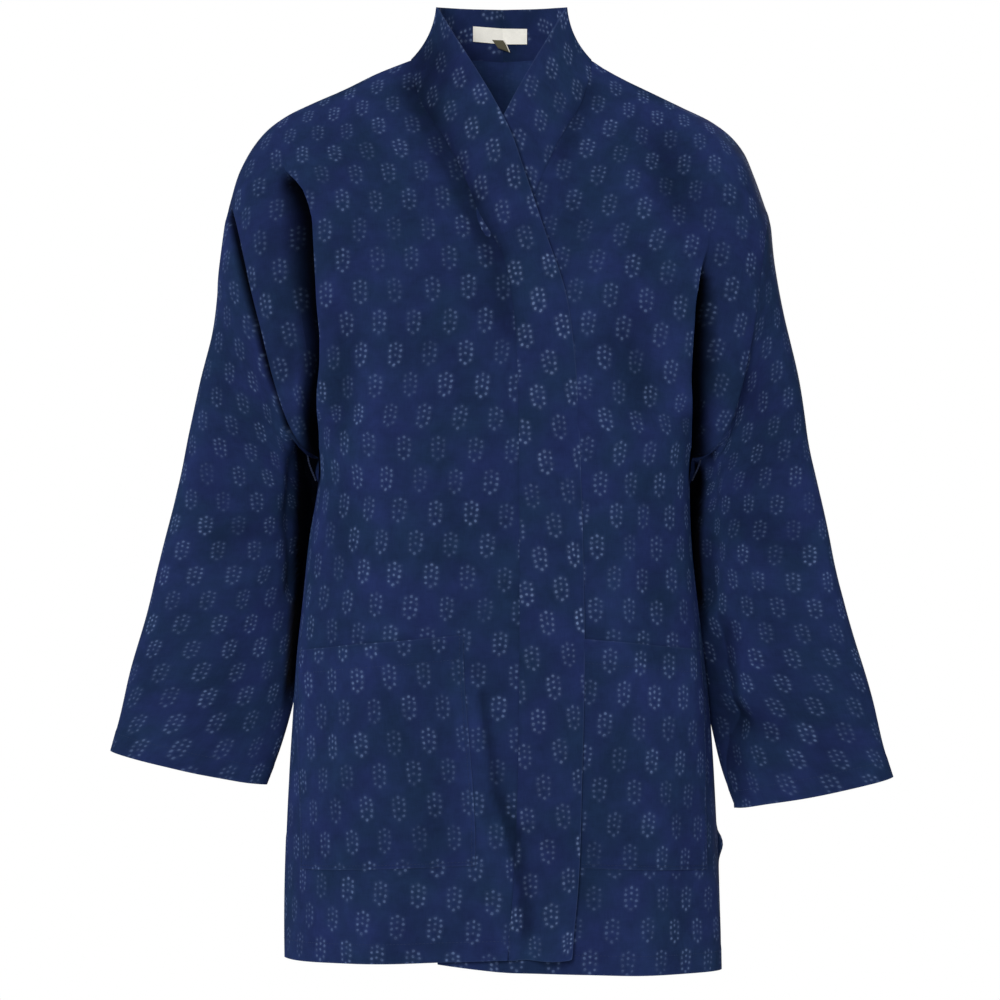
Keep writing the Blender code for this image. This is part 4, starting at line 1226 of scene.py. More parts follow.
    def groove(self, sheet: Sheet, walk: np.ndarray, depth: np.ndarray, width: float) -> None:
        """Press a narrow groove along one edge, with shade painted into it.

        Args:
            sheet: The cloth.
            walk: Distance of each point from the edge.
            depth: Depth at the edge, for each row or column that meets it.
            width: Half width of the groove.
        """
        trough = depth * np.exp(-((walk / width) ** 2))
        sheet.grid -= sheet.normals * trough[..., None]
        # Painted shade: the colour is darkened along the groove.
        sheet.shade = sheet.shade * (1 - np.clip(self.groove_wear * trough, 0.0, self.groove_limit))

    def sink(self, sheet: Sheet) -> None:
        """Draw the cloth in along its sewn edges."""
        depth = self.pinch * np.exp(-((sheet.sewn / self.pinch_width) ** 2))
        sheet.grid -= sheet.normals * depth[..., None]


@dataclass(frozen=True)
class PrintLay:
    """How a piece was cut from the printed cloth: turn in degrees and shift in millimetres."""

    turn: float = 0.0
    across: float = 0.0
    down: float = 0.0


class FlatPattern:
    """A sheet laid out flat with its edge lengths kept as far as they go."""

    PASSES = 1600
    PULL = 0.3
    STIFFNESS = 0.02

    def __init__(self, grid: np.ndarray, coarse: int = 26, level_hem: bool = False) -> None:
        """Lay a sheet out.

        Args:
            grid: Points of the sheet, open at every edge.
            coarse: Rows and columns of the first layout.
            level_hem: Whether the first layout starts from a straight lower edge.
        """
        down = Sheet.walk(grid, Edge.TOP).mean(axis=1)
        across = Sheet.walk(grid, Edge.INNER).mean(axis=0)
        rows, columns = self.evenly(down, coarse), self.evenly(across, coarse)
        rough = grid[np.ix_(rows, columns)]
        over = Sheet.walk(rough * (1.0, 1.0, 0.0 if level_hem else 1.0), Edge.INNER)
        flat = np.stack([over - over.mean(axis=1, keepdims=True), -Sheet.walk(rough, Edge.TOP)], axis=-1)
        if level_hem:
            flat[..., 1] = Sheet.walk(rough, Edge.BOTTOM)
        else:
            flat[..., 1] = flat[..., 1].mean(axis=1, keepdims=True)
        flat = self.relax(flat, rough)
        flat = smooth_through(down[rows], flat.reshape(len(rows), -1), down)
        flat = flat.reshape(len(down), len(columns), 2).swapaxes(0, 1)
        flat = smooth_through(across[columns], flat.reshape(len(columns), -1), across)
        self.points = flat.reshape(len(across), len(down), 2).swapaxes(0, 1)

    @staticmethod
    def evenly(walk: np.ndarray, count: int) -> np.ndarray:
        """Rows or columns that lie about evenly along a walk."""
        return np.unique(np.abs(walk[:, None] - np.linspace(0.0, walk[-1], count)).argmin(axis=0))

    def relax(self, flat: np.ndarray, grid: np.ndarray) -> np.ndarray:
        """Pull flat points towards the sheet's own lengths.

        Args:
            flat: First layout.
            grid: The same points on the sheet.

        Returns:
            The settled layout.
        """
        every, fore, aft = slice(None), slice(None, -1), slice(1, None)
        sides = (
            ((every, fore), (every, aft)),
            ((fore, every), (aft, every)),
            ((fore, fore), (aft, aft)),
            ((fore, aft), (aft, fore)),
        )
        lengths = [np.linalg.norm(grid[b] - grid[a], axis=-1) for a, b in sides]
        flat = flat.copy()
        for _ in range(self.PASSES):
            moves = np.zeros_like(flat)
            for (a, b), length in zip(sides, lengths):
                run = flat[b] - flat[a]
                now = np.maximum(np.linalg.norm(run, axis=-1), 1e-9)
                pull = run * ((now - length) / now * 0.5)[..., None]
                moves[a] += pull
                moves[b] -= pull
            flat += moves * self.PULL
            flat[1:-1] += (flat[:-2] - 2 * flat[1:-1] + flat[2:]) * self.STIFFNESS
            flat[:, 1:-1] += (flat[:, :-2] - 2 * flat[:, 1:-1] + flat[:, 2:]) * self.STIFFNESS
        return flat

    def area(self) -> float:
        """Flat area in square metres."""
        p = self.points
        first = p[1:, 1:] - p[:-1, :-1]
        second = p[1:, :-1] - p[:-1, 1:]
        return float(np.abs(first[..., 0] * second[..., 1] - first[..., 1] * second[..., 0]).sum() / 2)

    def size(self) -> tuple[float, float]:
        """Width and length of the flat piece's box."""
        span = self.points.reshape(-1, 2).max(axis=0) - self.points.reshape(-1, 2).min(axis=0)
        return float(span[0]), float(span[1])

    def printed(self, lay: PrintLay) -> np.ndarray:
        """Places on the printed cloth."""
        turn = math.radians(lay.turn)
        cosine, sine = math.cos(turn), math.sin(turn)
        x, y = self.points[..., 0], self.points[..., 1]
        across = cosine * x + sine * y + lay.across * MM
        down = -sine * x + cosine * y + lay.down * MM
        return np.stack([across, down], axis=-1)


@dataclass(frozen=True)
class ClothShell:
    """Closed thin shell of cloth on both sides of a sheet, with its print laid on it."""

    name: str
    outside: bpy.types.Material
    inside: bpy.types.Material
    sharp: float = 1.0

    def build(self, sheet: Sheet, thickness: Any, places: np.ndarray) -> bpy.types.Object:
        """Make the shell.

        Args:
            sheet: Middle surface.
            thickness: Cloth thickness, one number or one for each point.
            places: Print places, with one more column than the grid if the sheet is closed.

        Returns:
            The shell's object.
        """
        rows, columns = sheet.grid.shape[:2]
        half = np.broadcast_to(np.asarray(thickness, float) / 2, (rows, columns))[..., None]
        outer = (sheet.grid + sheet.normals * half).reshape(-1, 3)
        inner = (sheet.grid - sheet.normals * half).reshape(-1, 3)
        across = columns if sheet.closed else columns - 1
        r, c = [a.ravel() for a in np.meshgrid(np.arange(rows - 1), np.arange(across), indexing="ij")]
        turns = ((0, 0), (0, 1), (1, 1), (1, 0))
        front = np.stack([np.stack([r + down, c + over], axis=-1) for down, over in turns], axis=1)
        layer = np.zeros_like(front[..., :1])
        back = np.concatenate([front[:, ::-1], layer + 1], axis=-1)
        corners = [np.concatenate([front, layer], axis=-1), back]
        for loop in self.rims(rows, columns, sheet.closed):
            near = np.array(loop[:-1])
            far = np.array(loop[1:])
            layer = np.zeros((len(near), 1), int)
            rim = [
                np.concatenate([far, layer], axis=1),
                np.concatenate([near, layer], axis=1),
                np.concatenate([near, layer + 1], axis=1),
                np.concatenate([far, layer + 1], axis=1),
            ]
            corners.append(np.stack(rim, axis=1))
        faces = np.concatenate(corners)
        index = faces[..., 0] * columns + faces[..., 1] % columns + faces[..., 2] * rows * columns
        points = np.concatenate([outer, inner])
        first, second, third, fourth = (points[index[:, k]] for k in range(4))
        volume = np.sum(np.cross(second - first, third - first) * first)
        volume += np.sum(np.cross(third - first, fourth - first) * first)
        if volume < 0:
            faces = faces[:, ::-1]
            index = index[:, ::-1]
        mesh = bpy.data.meshes.new(self.name)
        mesh.from_pydata(points.tolist(), [], index.tolist())
        mesh.materials.append(self.outside)
        mesh.materials.append(self.inside)
        reverse = np.all(faces[..., 2] == 1, axis=1).astype(np.int32)
        mesh.polygons.foreach_set("material_index", reverse)
        flat = faces.reshape(-1, 3)
        spots = flat[:, 0], flat[:, 1] % columns
        shade = np.ones((rows, columns)) if sheet.shade is None else sheet.shade
        layers = {
            "print": places[flat[:, 0], flat[:, 1]],
            "edges": np.stack([sheet.sewn, sheet.free], axis=-1)[spots],
            "shade": np.stack([shade, np.ones_like(shade)], axis=-1)[spots],
        }
        for name, values in layers.items():
            layer = mesh.uv_layers.new(name=name)
            layer.data.foreach_set("uv", values.astype(np.float32).ravel())
        mesh.shade_smooth()
        mesh.set_sharp_from_angle(angle=self.sharp)
        mesh.update()
        return put(self.name, mesh)

    @staticmethod
    def rims(rows: int, columns: int, closed: bool) -> list[list[tuple[int, int]]]:
        """Loops of grid places round the shell's open edges, all the same way round."""
        around = range(columns + closed)
        top = [(0, c) for c in around]
        bottom = [(rows - 1, c) for c in reversed(around)]
        if closed:
            return [top, bottom]
        outer = [(r, columns - 1) for r in range(rows)]
        inner = [(r, 0) for r in reversed(range(rows))]
        return [top, outer, bottom, inner]


class Shade:
    """A number in a material's node tree that takes part in Python expressions."""

    def __init__(self, desk: "Desk", socket: bpy.types.NodeSocket) -> None:
        """Wrap an output socket."""
        self.desk = desk
        self.socket = socket

    def math(self, operation: str, other: Any = None, turned: bool = False) -> "Shade":
        """Add a Math node on this value and another.

        Args:
            operation: The node's operation.
            other: Second value, if it has one.
            turned: Whether the other value comes first.

        Returns:
            The result.
        """
        values = [self] if other is None else [self, other]
        if turned:
            values.reverse()
        node = self.desk.node("ShaderNodeMath", {"operation": operation}, dict(enumerate(values)))
        return Shade(self.desk, node.outputs[0])

    def __add__(self, other: Any) -> "Shade":
        """Sum."""
        return self.math("ADD", other)

    __radd__ = __add__

    def __sub__(self, other: Any) -> "Shade":
        """Difference."""
        return self.math("SUBTRACT", other)

    def __rsub__(self, other: Any) -> "Shade":
        """Difference, turned round."""
        return self.math("SUBTRACT", other, True)

    def __mul__(self, other: Any) -> "Shade":
        """Product."""
        return self.math("MULTIPLY", other)

    __rmul__ = __mul__

    def __truediv__(self, other: Any) -> "Shade":
        """Quotient."""
        return self.math("DIVIDE", other)

    def __rtruediv__(self, other: Any) -> "Shade":
        """Quotient, turned round."""
        return self.math("DIVIDE", other, True)

    def floor(self) -> "Shade":
        """Whole part."""
        return self.math("FLOOR")

    def least(self, other: Any) -> "Shade":
        """Smaller of two values."""
        return self.math("MINIMUM", other)

    def most(self, other: Any) -> "Shade":
        """Larger of two values."""
        return self.math("MAXIMUM", other)

    def odd(self) -> "Shade":
        """Remainder after halving, for whole numbers."""
        return self.math("FLOORED_MODULO", 2.0)

    def step(self, start: float, end: float, low: float = 0.0, high: float = 1.0) -> "Shade":
        """Smooth step from low at start to high at end."""
        inputs = {"Value": self, "From Min": start, "From Max": end, "To Min": low, "To Max": high}
        node = self.desk.node("ShaderNodeMapRange", {"interpolation_type": "SMOOTHSTEP"}, inputs)
        return Shade(self.desk, node.outputs[0])


def add_node(
    tree: bpy.types.NodeTree,
    kind: str,
    settings: dict[str, Any] | None = None,
    inputs: dict[Any, Any] | None = None,
) -> bpy.types.Node:
    """Add a node to a tree.

    Args:
        tree: The tree.
        kind: The node's type.
        settings: Properties, set first.
        inputs: Values or links of its sockets, by name or number.

    Returns:
        The node.
    """
    node = tree.nodes.new(kind)
    for key, value in (settings or {}).items():
        setattr(node, key, value)
    for key, value in (inputs or {}).items():
        plug(tree, node.inputs[key], value)
    return node


def plug(tree: bpy.types.NodeTree, socket: bpy.types.NodeSocket, value: Any) -> None:
    """Link a socket to a value, or set it."""
    value = value.socket if isinstance(value, Shade) else value
    if isinstance(value, bpy.types.NodeSocket):
        tree.links.new(value, socket)
    else:
        socket.default_value = value


def rgba(colour: tuple[float, float, float]) -> tuple[float, float, float, float]:
    """A colour with full cover."""
    return (*colour, 1.0)


def put(name: str, data: Any) -> bpy.types.Object:
    """New object with the given data, linked to the scene."""
    made = bpy.data.objects.new(name, data)
    bpy.context.collection.objects.link(made)
    return made


class Desk:
    """A material under work: its node tree and its one shader."""

    def __init__(self, name: str) -> None:
        """Start a material with a Principled shader."""
        self.material = bpy.data.materials.new(name)
        self.material.use_nodes = True
        self.tree = self.material.node_tree
        self.shader = self.tree.nodes["Principled BSDF"]
        self.node = partial(add_node, self.tree)

    def feed(self, name: str, value: Any) -> None:
        """Link one of the shader's inputs to a value, or set it."""
        plug(self.tree, self.shader.inputs[name], value)

    def uv(self, name: str) -> tuple[Shade, Shade, Any]:
        """Both numbers of a UV map, and its vector."""
        spot = self.node("ShaderNodeUVMap", {"uv_map": name})
        parts = self.node("ShaderNodeSeparateXYZ", {}, {0: spot.outputs[0]})
        return Shade(self, parts.outputs[0]), Shade(self, parts.outputs[1]), spot.outputs[0]

    def cloth(self) -> tuple[Shade, Shade, Any]:
        """Place on the cloth in millimetres: across, along, and both as a vector."""
        u, v, _ = self.uv("print")
        u, v = u * PER_METRE, v * PER_METRE
        return u, v, self.vector(u, v)

    def vector(self, x: Any, y: Any, z: Any = 0.0) -> Any:
        """A vector from three numbers."""
        return self.node("ShaderNodeCombineXYZ", {}, {0: x, 1: y, 2: z}).outputs[0]

    def noise(self, place: Any, scale: float, detail: float = 2.0, rough: float = 0.5) -> Shade:
        """Noise from about 0 to 1 at a place."""
        inputs = {"Vector": place, "Scale": scale, "Detail": detail, "Roughness": rough}
        return Shade(self, self.node("ShaderNodeTexNoise", {}, inputs).outputs[0])

    def mix(self, share: Any, first: Any, second: Any, blend: str = "MIX") -> Any:
        """Mix two colours."""
        settings = {"data_type": "RGBA", "blend_type": blend}
        return self.node("ShaderNodeMix", settings, {0: share, 6: first, 7: second}).outputs[2]

    def tone(self, colour: Any, factor: Shade) -> Any:
        """A colour made lighter or darker by a number."""
        inputs = {0: colour, "Scale": factor}
        return self.node("ShaderNodeVectorMath", {"operation": "SCALE"}, inputs).outputs[0]

    def bump(self, height: Shade, strength: float) -> None:
        """Feed a height in millimetres to the shader's normal."""
        node = self.node("ShaderNodeBump", {}, {"Strength": strength, "Distance": MM, "Height": height})
        self.feed("Normal", node.outputs[0])


@dataclass(frozen=True)
class PrintedCotton:
    """Indigo cotton with a small block print of pale dots in leaf-shaped groups.

    Attributes:
        name: Material name.
        deep: Darker, greener indigo.
        blue: Clearer indigo.
        pale: Colour of the dots.
        dots: How strongly the dots show.
        light: Factor on the whole colour.
    """

    name: str = "printed_cotton"
    deep: tuple[float, float, float] = (0.0106, 0.0242, 0.0660)
    blue: tuple[float, float, float] = (0.0138, 0.0232, 0.0870)
    pale: tuple[float, float, float] = (0.090, 0.137, 0.270)
    dots: float = 1.0
    light: float = 1.0
    mottle_scale: float = 0.016
    wash_scale: float = 0.026
    cloud_scale: float = 0.09
    crinkle_scale: float = 0.050
    slub: tuple[float, float] = (11.0, 13.0)
    yarn: float = 0.75
    column_pitch: float = 33.0
    row_pitch: float = 29.5
    dot_radius: float = 1.38
    motif: tuple[tuple[float, float], ...] = (
        (-4.7, 7.8), (0.0, 10.0), (4.9, 8.2), (-5.2, 3.3), (-0.1, 4.9), (5.3, 3.4),
        (-4.9, -2.0), (0.2, -0.6), (4.9, -1.9), (-4.1, -7.0), (4.6, -6.9), (0.4, -9.9),
    )

    def dress(self) -> bpy.types.Material:
        """Build the material."""
        desk = Desk(self.name)
        u, v, place = desk.cloth()
        dots = self.printed(desk, u, v, place) * self.dots
        mottle = desk.noise(place, self.mottle_scale, 3.0, 0.55)
        cloud = desk.noise(place, self.cloud_scale, 4.0, 0.6)
        weft = desk.noise(desk.vector(u / self.slub[0], v / self.yarn), 1.0, 2.0)
        warp = desk.noise(desk.vector(u / self.yarn, v / self.slub[1]), 1.0, 2.0)
        ground = desk.mix(mottle.step(0.28, 0.72), rgba(self.deep), rgba(self.blue))
        threads = weft + warp
        wash = desk.noise(place, self.wash_scale, 3.0, 0.6).step(0.25, 0.75, 0.86, 1.12)
        shade = (cloud * 0.40 + 0.80) * (threads * 0.30 + 0.70) * wash * self.light
        sewn, free, _ = desk.uv("edges")
        wear_and_shade = free.step(0.0, 0.0014, 0.07, 0.0) * (cloud * 0.8 + 0.6)
        seam = sewn.step(0.0, 0.004, 0.95, 1.0)
        colour = desk.tone(ground, shade * seam)
        colour = desk.mix(wear_and_shade, colour, rgba(self.pale))
        colour = desk.mix(dots, colour, rgba(self.pale))
        # Painted shade of the folds, tucks, grooves and patches, from the sheet.
        folds, _, _ = desk.uv("shade")
        colour = desk.tone(colour, folds)
        desk.feed("Base Color", colour)
        desk.feed("Roughness", 0.94 - cloud * 0.14)
        crinkle = desk.noise(place, self.crinkle_scale, 3.0, 0.55) * 0.9 + desk.noise(place, 0.17, 2.0) * 0.14
        desk.bump(crinkle + threads * 0.05 + dots * 0.02, 0.7)
        desk.feed("Specular IOR Level", 0.02)
        desk.feed("Diffuse Roughness", 1.0)
        return desk.material

    def printed(self, desk: Desk, u: Shade, v: Shade, place: Any) -> Shade:
        """Strength of the printed dots, in rows shifted by half a repeat.

        Args:
            desk: The material under work.
            u: Place across the cloth in millimetres.
            v: Place along the cloth in millimetres.
            place: Both as a vector.

        Returns:
            Strength from 0 to 1.
        """
        drift = desk.noise(place, 0.02, 1.0) * 3.0
        row = (v / self.row_pitch + 0.5).floor()
        along = v - row * self.row_pitch
        slot = u / self.column_pitch + row.odd() * 0.5
        cell = (slot + 0.5).floor()
        across = (slot - cell) * self.column_pitch
        block_at = {"Vector": desk.vector(cell, row)}
        chance = desk.node("ShaderNodeTexWhiteNoise", {"noise_dimensions": "2D"}, block_at)
        parts = desk.node("ShaderNodeSeparateXYZ", {}, {0: chance.outputs["Color"]})
        spot = desk.vector(
            across + Shade(desk, parts.outputs[0]) * 2.0 - 2.5 + drift,
            along + Shade(desk, parts.outputs[1]) * 2.0 - 1.0,
        )
        nearest = None
        for count, (x, y) in enumerate(self.motif):
            gap = desk.node("ShaderNodeVectorMath", {"operation": "DISTANCE"}, {0: spot, 1: (x, y, 0.0)})
            gap = Shade(desk, gap.outputs["Value"]) - self.dot_radius * (1.0 + 0.12 * math.sin(2.4 * count))
            nearest = gap if nearest is None else nearest.least(gap)
        fray = desk.noise(place, 0.9, 2.0) * 1.0 - 0.5
        ink = desk.noise(place, 0.23, 1.0).step(0.30, 0.66, 0.30, 1.0)
        patch = desk.noise(place, 0.011, 2.0).step(0.34, 0.62, 0.62, 1.0)
        block = (Shade(desk, parts.outputs[2]) * 0.55 + 0.45) * patch
        halo = nearest.step(-0.4, 2.6, 0.17, 0.0)
        return ((nearest + fray).step(-0.62, 0.42, 1.0, 0.0).most(halo)) * ink * block


@dataclass(frozen=True)
class WovenTape:
    """Blank woven tape with a pale selvedge on one side, if asked."""

    name: str
    ground: tuple[float, float, float]
    line: tuple[float, float, float]
    selvedge: float = 0.0
    ribs: float = 0.55

    def dress(self) -> bpy.types.Material:
        """Build the material."""
        desk = Desk(self.name)
        u, v, place = desk.cloth()
        rib = (v * (2 * math.pi / self.ribs)).math("SINE") * 0.5 + 0.5
        fleck = desk.noise(desk.vector(u / 2.5, v / 0.35), 1.0, 2.0)
        cloud = desk.noise(place, 0.12, 3.0)
        shade = (rib * 0.08 + 0.92) * (fleck * 0.24 + 0.88) * (cloud * 0.16 + 0.92)
        colour = desk.tone(self.ground, shade)
        if self.selvedge:
            edge = u.step(self.selvedge - 0.25, self.selvedge + 0.25)
            colour = desk.mix(edge, colour, rgba(self.line))
        desk.feed("Base Color", colour)
        desk.feed("Roughness", 0.78 - fleck * 0.12)
        desk.bump(rib * 0.05 + fleck * 0.05, 0.6)
        desk.feed("Specular IOR Level", 0.3)
        desk.feed("Sheen Weight", 0.1)
        return desk.material


@dataclass(frozen=True)
class Thread:
    """Twisted cotton thread."""

    name: str
    ground: tuple[float, float, float]
    tip: tuple[float, float, float]
    scale: float = 900.0

    def dress(self) -> bpy.types.Material:
        """Build the material."""
        desk = Desk(self.name)
        spot = desk.node("ShaderNodeTexCoord").outputs["Object"]
        fibre = desk.noise(spot, self.scale, 3.0, 0.6)
        colour = desk.mix(fibre.step(0.35, 0.70), rgba(self.ground), rgba(self.tip))
        desk.feed("Base Color", colour)
        desk.feed("Roughness", 0.85 - fibre * 0.15)
        desk.bump(fibre * 0.06, 0.5)
        desk.feed("Specular IOR Level", 0.25)
        return desk.material


@dataclass
class Wardrobe:
    """All finishes of the jacket."""

    cotton: bpy.types.Material
    band: bpy.types.Material
    reverse: bpy.types.Material
    label: bpy.types.Material
    tab: bpy.types.Material
    cord: bpy.types.Material
    sewing: bpy.types.Material
    pale_sewing: bpy.types.Material

    @classmethod
    def make(cls) -> "Wardrobe":
        """Dress every finish."""
        return cls(
            cotton=PrintedCotton().dress(),
            band=PrintedCotton(name="printed_band", light=1.03, pale=(0.124, 0.180, 0.335)).dress(),
            # The reverse is paler cloth; its light of 1.6 is also painted light that lifts the inside of the
            # neck out of its shade.
            reverse=PrintedCotton(name="cotton_reverse", dots=0.12, light=1.6).dress(),
            label=WovenTape("cream_tape", (0.92, 0.90, 0.83), (0.94, 0.92, 0.86)).dress(),
            tab=WovenTape("olive_tape", (0.085, 0.078, 0.045), (0.72, 0.70, 0.64), selvedge=11.2).dress(),
            # The cord's near-black is painted shade that sinks the loops into the shade beside the arms.
            cord=Thread("indigo_cord", (0.006, 0.010, 0.028), (0.020, 0.030, 0.070), 700.0).dress(),
            sewing=Thread("indigo_sewing", (0.010, 0.021, 0.062), (0.018, 0.034, 0.090)).dress(),
            pale_sewing=Thread("cream_sewing", (0.62, 0.56, 0.45), (0.76, 0.71, 0.60)).dress(),
        )


@dataclass
class JacketSide:
    """Front, back, band, sleeve and pocket of one side, sewn together."""

    FACES = (("front", Face.FRONT), ("back", Face.BACK))

    side: Side
    form: JacketForm
    finish: Wardrobe
    cloth: float = 0.0010
    hem_cloth: float = 0.0017
    hem_deep: float = 0.021
    hem_ease: tuple[float, float] = (-0.002, 0.001)
    band_cloth: float = 0.0018
    half_gap: float = -0.00003
    side_reach: float = 0.030
    vent_top_z: float = -0.735
    vent_low_z: float = -0.842
    vent_open: float = 0.007
    vent_peep: float = 0.0050
    vent_peep_z: float = -0.7424
    vent_peep_tall: float = 0.011
    pocket_off: float = 0.0012
    pocket_gape: float = 0.0012
    gape_deep: float = 0.45
    gape_round: float = 0.8
    groove_front: tuple[float, float] = (0.0095, 0.0004)
    groove_back: float = 0.0018
    groove_wide: float = 0.0050
    groove_sleeve: float = 1.15
    groove_start: tuple[float, float] = (0.005, 0.06)
    groove_front_end: tuple[float, float] = (0.5, 0.46)
    groove_back_end: tuple[float, float] = (0.5, 0.40)
    edge_fall: tuple[float, float] = (0.0056, 0.0046)
    edge_fall_wide: float = 0.018
    edge_fall_down: tuple[float, float] = (0.080, 0.140)
    edge_less_down: tuple[float, float] = (0.170, 0.270)
    crease_y: float = -0.010
    # How much more strongly the band creases' troughs darken the colour, as painted shade.
    trough_wear: float = 3.4
    hem_stitch_in: float = 0.003
    vent_stitch_in: float = 0.009
    mouth_stitch_in: float = 0.022
    pocket_stitch_in: float = 0.0035
    band_turn: tuple[float, float] = (-6.0, 14.0)
    band_turn_z: tuple[float, float] = (-0.300, -0.120)
    grids: dict[str, np.ndarray] = field(default_factory=dict)
    out: dict[str, np.ndarray] = field(default_factory=dict)
    flats: dict[str, np.ndarray] = field(default_factory=dict)
    sheets: dict[str, Sheet] = field(default_factory=dict)

    def folds(self, part: str) -> Drape:
        """Creases and swells of one of this side's pieces."""
        return Drape(f"{part}_{self.side.word}")

    @staticmethod
    def wall(grid: np.ndarray, edges: dict[Edge, Any]) -> tuple[np.ndarray, np.ndarray]:
        """Distances from the sewn and the free edges.

        Args:
            grid: Points of the sheet.
            edges: For each edge whether it is sewn, or an array with one answer for each row.

        Returns:
            Distance from sewn edges and from free edges.
        """
        far = 1.0
        sewn = np.full(grid.shape[:2], far)
        free = np.full(grid.shape[:2], far)
        for edge, is_sewn in edges.items():
            reach = Sheet.walk(grid, edge)
            if isinstance(is_sewn, bool):
                is_sewn = np.full(grid.shape[:1], is_sewn)
            mask = is_sewn[:, None] if edge.value[0] == 1 else is_sewn[:1, None]
            sewn = np.minimum(sewn, np.where(mask, reach, far))
            free = np.minimum(free, np.where(mask, far, reach))
        return sewn, free

    def cut(self) -> None:
        """Shape all panels of this side and part them at their seams."""
        marks, shades = self.drape()
        for part, grid in self.grids.items():
            self.out[part] = sheet_normals(grid, part == "sleeve")
        self.part_shoulder()
        self.part_side()
        self.part_armhole()
        self.part_band()
        for part, grid in self.grids.items():
            # Painted shade on the colour: the folds, tucks and gulfs, and the patches of painted shade.
            shade = shades[part] * self.painted_shade(grid)
            sheet = Sheet(grid, self.out[part], *marks[part], part == "sleeve", shade)
            if part != "band":
                self.folds(part).sink(sheet)
            self.sheets[part] = sheet
        self.crease_band()
        self.groove_armhole()
        self.sheets["pocket"] = self.pocket_sheet()

    def drape(self) -> tuple[dict[str, tuple[np.ndarray, np.ndarray]], dict[str, np.ndarray]]:
        """Shape the panels and lay their creases and tucks.

        Returns:
            Distances from the sewn and free edges, and the painted shade on the colour, of each panel.
        """
        form, side, grids = self.form, self.side, self.grids
        grids["front"], grids["back"] = form.front_sheet(side), form.back_sheet(side)
        grids["band"], grids["sleeve"] = form.band_sheet(side), form.sleeve_sheet(side)
        marks, shades = {}, {}
        for part, _ in self.FACES:
            sewn_side = grids[part][:, -1, 2] > self.vent_top_z
            edges = {Edge.TOP: True, Edge.BOTTOM: False, Edge.INNER: True, Edge.OUTER: sewn_side}
            marks[part] = self.wall(grids[part], edges)
            grids[part], shades[part] = self.folds(part).lay(grids[part], marks[part][0])
            self.flats[part] = grids[part].copy()
        grids["front"], shade = self.folds("front").tuck(grids["front"], side, form)
        shades["front"] = shades["front"] * shade
        edges = {Edge.TOP: True, Edge.BOTTOM: False, Edge.INNER: True, Edge.OUTER: False}
        marks["band"] = self.wall(grids["band"], edges)
        grids["band"] = self.settle_edge(grids["band"], marks["band"][1])
        shades["band"] = np.ones(grids["band"].shape[:2])
        marks["sleeve"] = self.wall(grids["sleeve"], {Edge.TOP: True, Edge.BOTTOM: False})
        sewn = marks["sleeve"][0]
        grids["sleeve"], shades["sleeve"] = self.folds("sleeve").lay(grids["sleeve"], sewn, True)
        self.flats["sleeve"] = grids["sleeve"].copy()
        grids["sleeve"], shade = self.folds("sleeve").gulf(grids["sleeve"], side, sewn)
        shades["sleeve"] = shades["sleeve"] * shade
        return marks, shades

    def part_shoulder(self) -> None:
        """Part front and back at the shoulder, their normals square to its ridge."""
        form, side = self.form, self.side
        shares = {"front": form.front_shares(form.underarm_z)[0], "back": crowd(form.fine.shoulder, end=True)}
        for part, face in self.FACES:
            seam = slice(form.fine.neck if face is Face.BACK else 0, None)
            ridge = form.shoulder_curve(side, shares[part])
            self.out[part][0, seam] = unit(np.cross(np.gradient(ridge, axis=0), (0.0, side.value, 0.0)))
            self.grids[part][0, seam, 1] = face.value * self.half_gap

    def part_side(self) -> None:
        """Part front and back at the side, with the vent, and the back from its other half."""
        yoke, side = self.form.fine.yoke, self.side
        for part, face in self.FACES:
            grid, out = self.grids[part], self.out[part]
            out[yoke:, -1] = flatten_axis(out[yoke:, -1], 1)
            vent = ease(-grid[yoke:, -1, 2], -self.vent_top_z, -self.vent_low_z) * self.vent_open / 2
            shift = face.value * (self.half_gap + vent) - grid[yoke:, -1, 1]
            near = ease(Sheet.walk(grid[yoke:], Edge.OUTER), self.side_reach, 0.0)
            grid[yoke:, :, 1] += shift[:, None] * near
            if face is Face.BACK and side is Side.LEFT:
                above = (grid[yoke:, -1, 2] - self.vent_peep_z) / self.vent_peep_tall
                peep = self.vent_peep * np.exp(-(above**2))
                grid[yoke:, :, 0] += side.value * peep[:, None] * near
        self.out["back"][:, 0] = flatten_axis(self.out["back"][:, 0], 0)
        self.grids["back"][:, 0, 0] = side.value * self.half_gap

    def part_armhole(self) -> None:
        """Part the sleeve from front and back."""
        form, rows = self.form, slice(0, self.form.fine.yoke + 1)
        _, outward, away = form.armhole(self.side, form.turns)
        self.out["sleeve"][0] = outward
        self.grids["sleeve"][0] += away * self.half_gap
        for part, face in self.FACES:
            _, outward, away = form.armhole(self.side, -face.value * form.steps / 2)
            self.out[part][rows, -1] = outward
            self.grids[part][rows, -1] -= away * self.half_gap

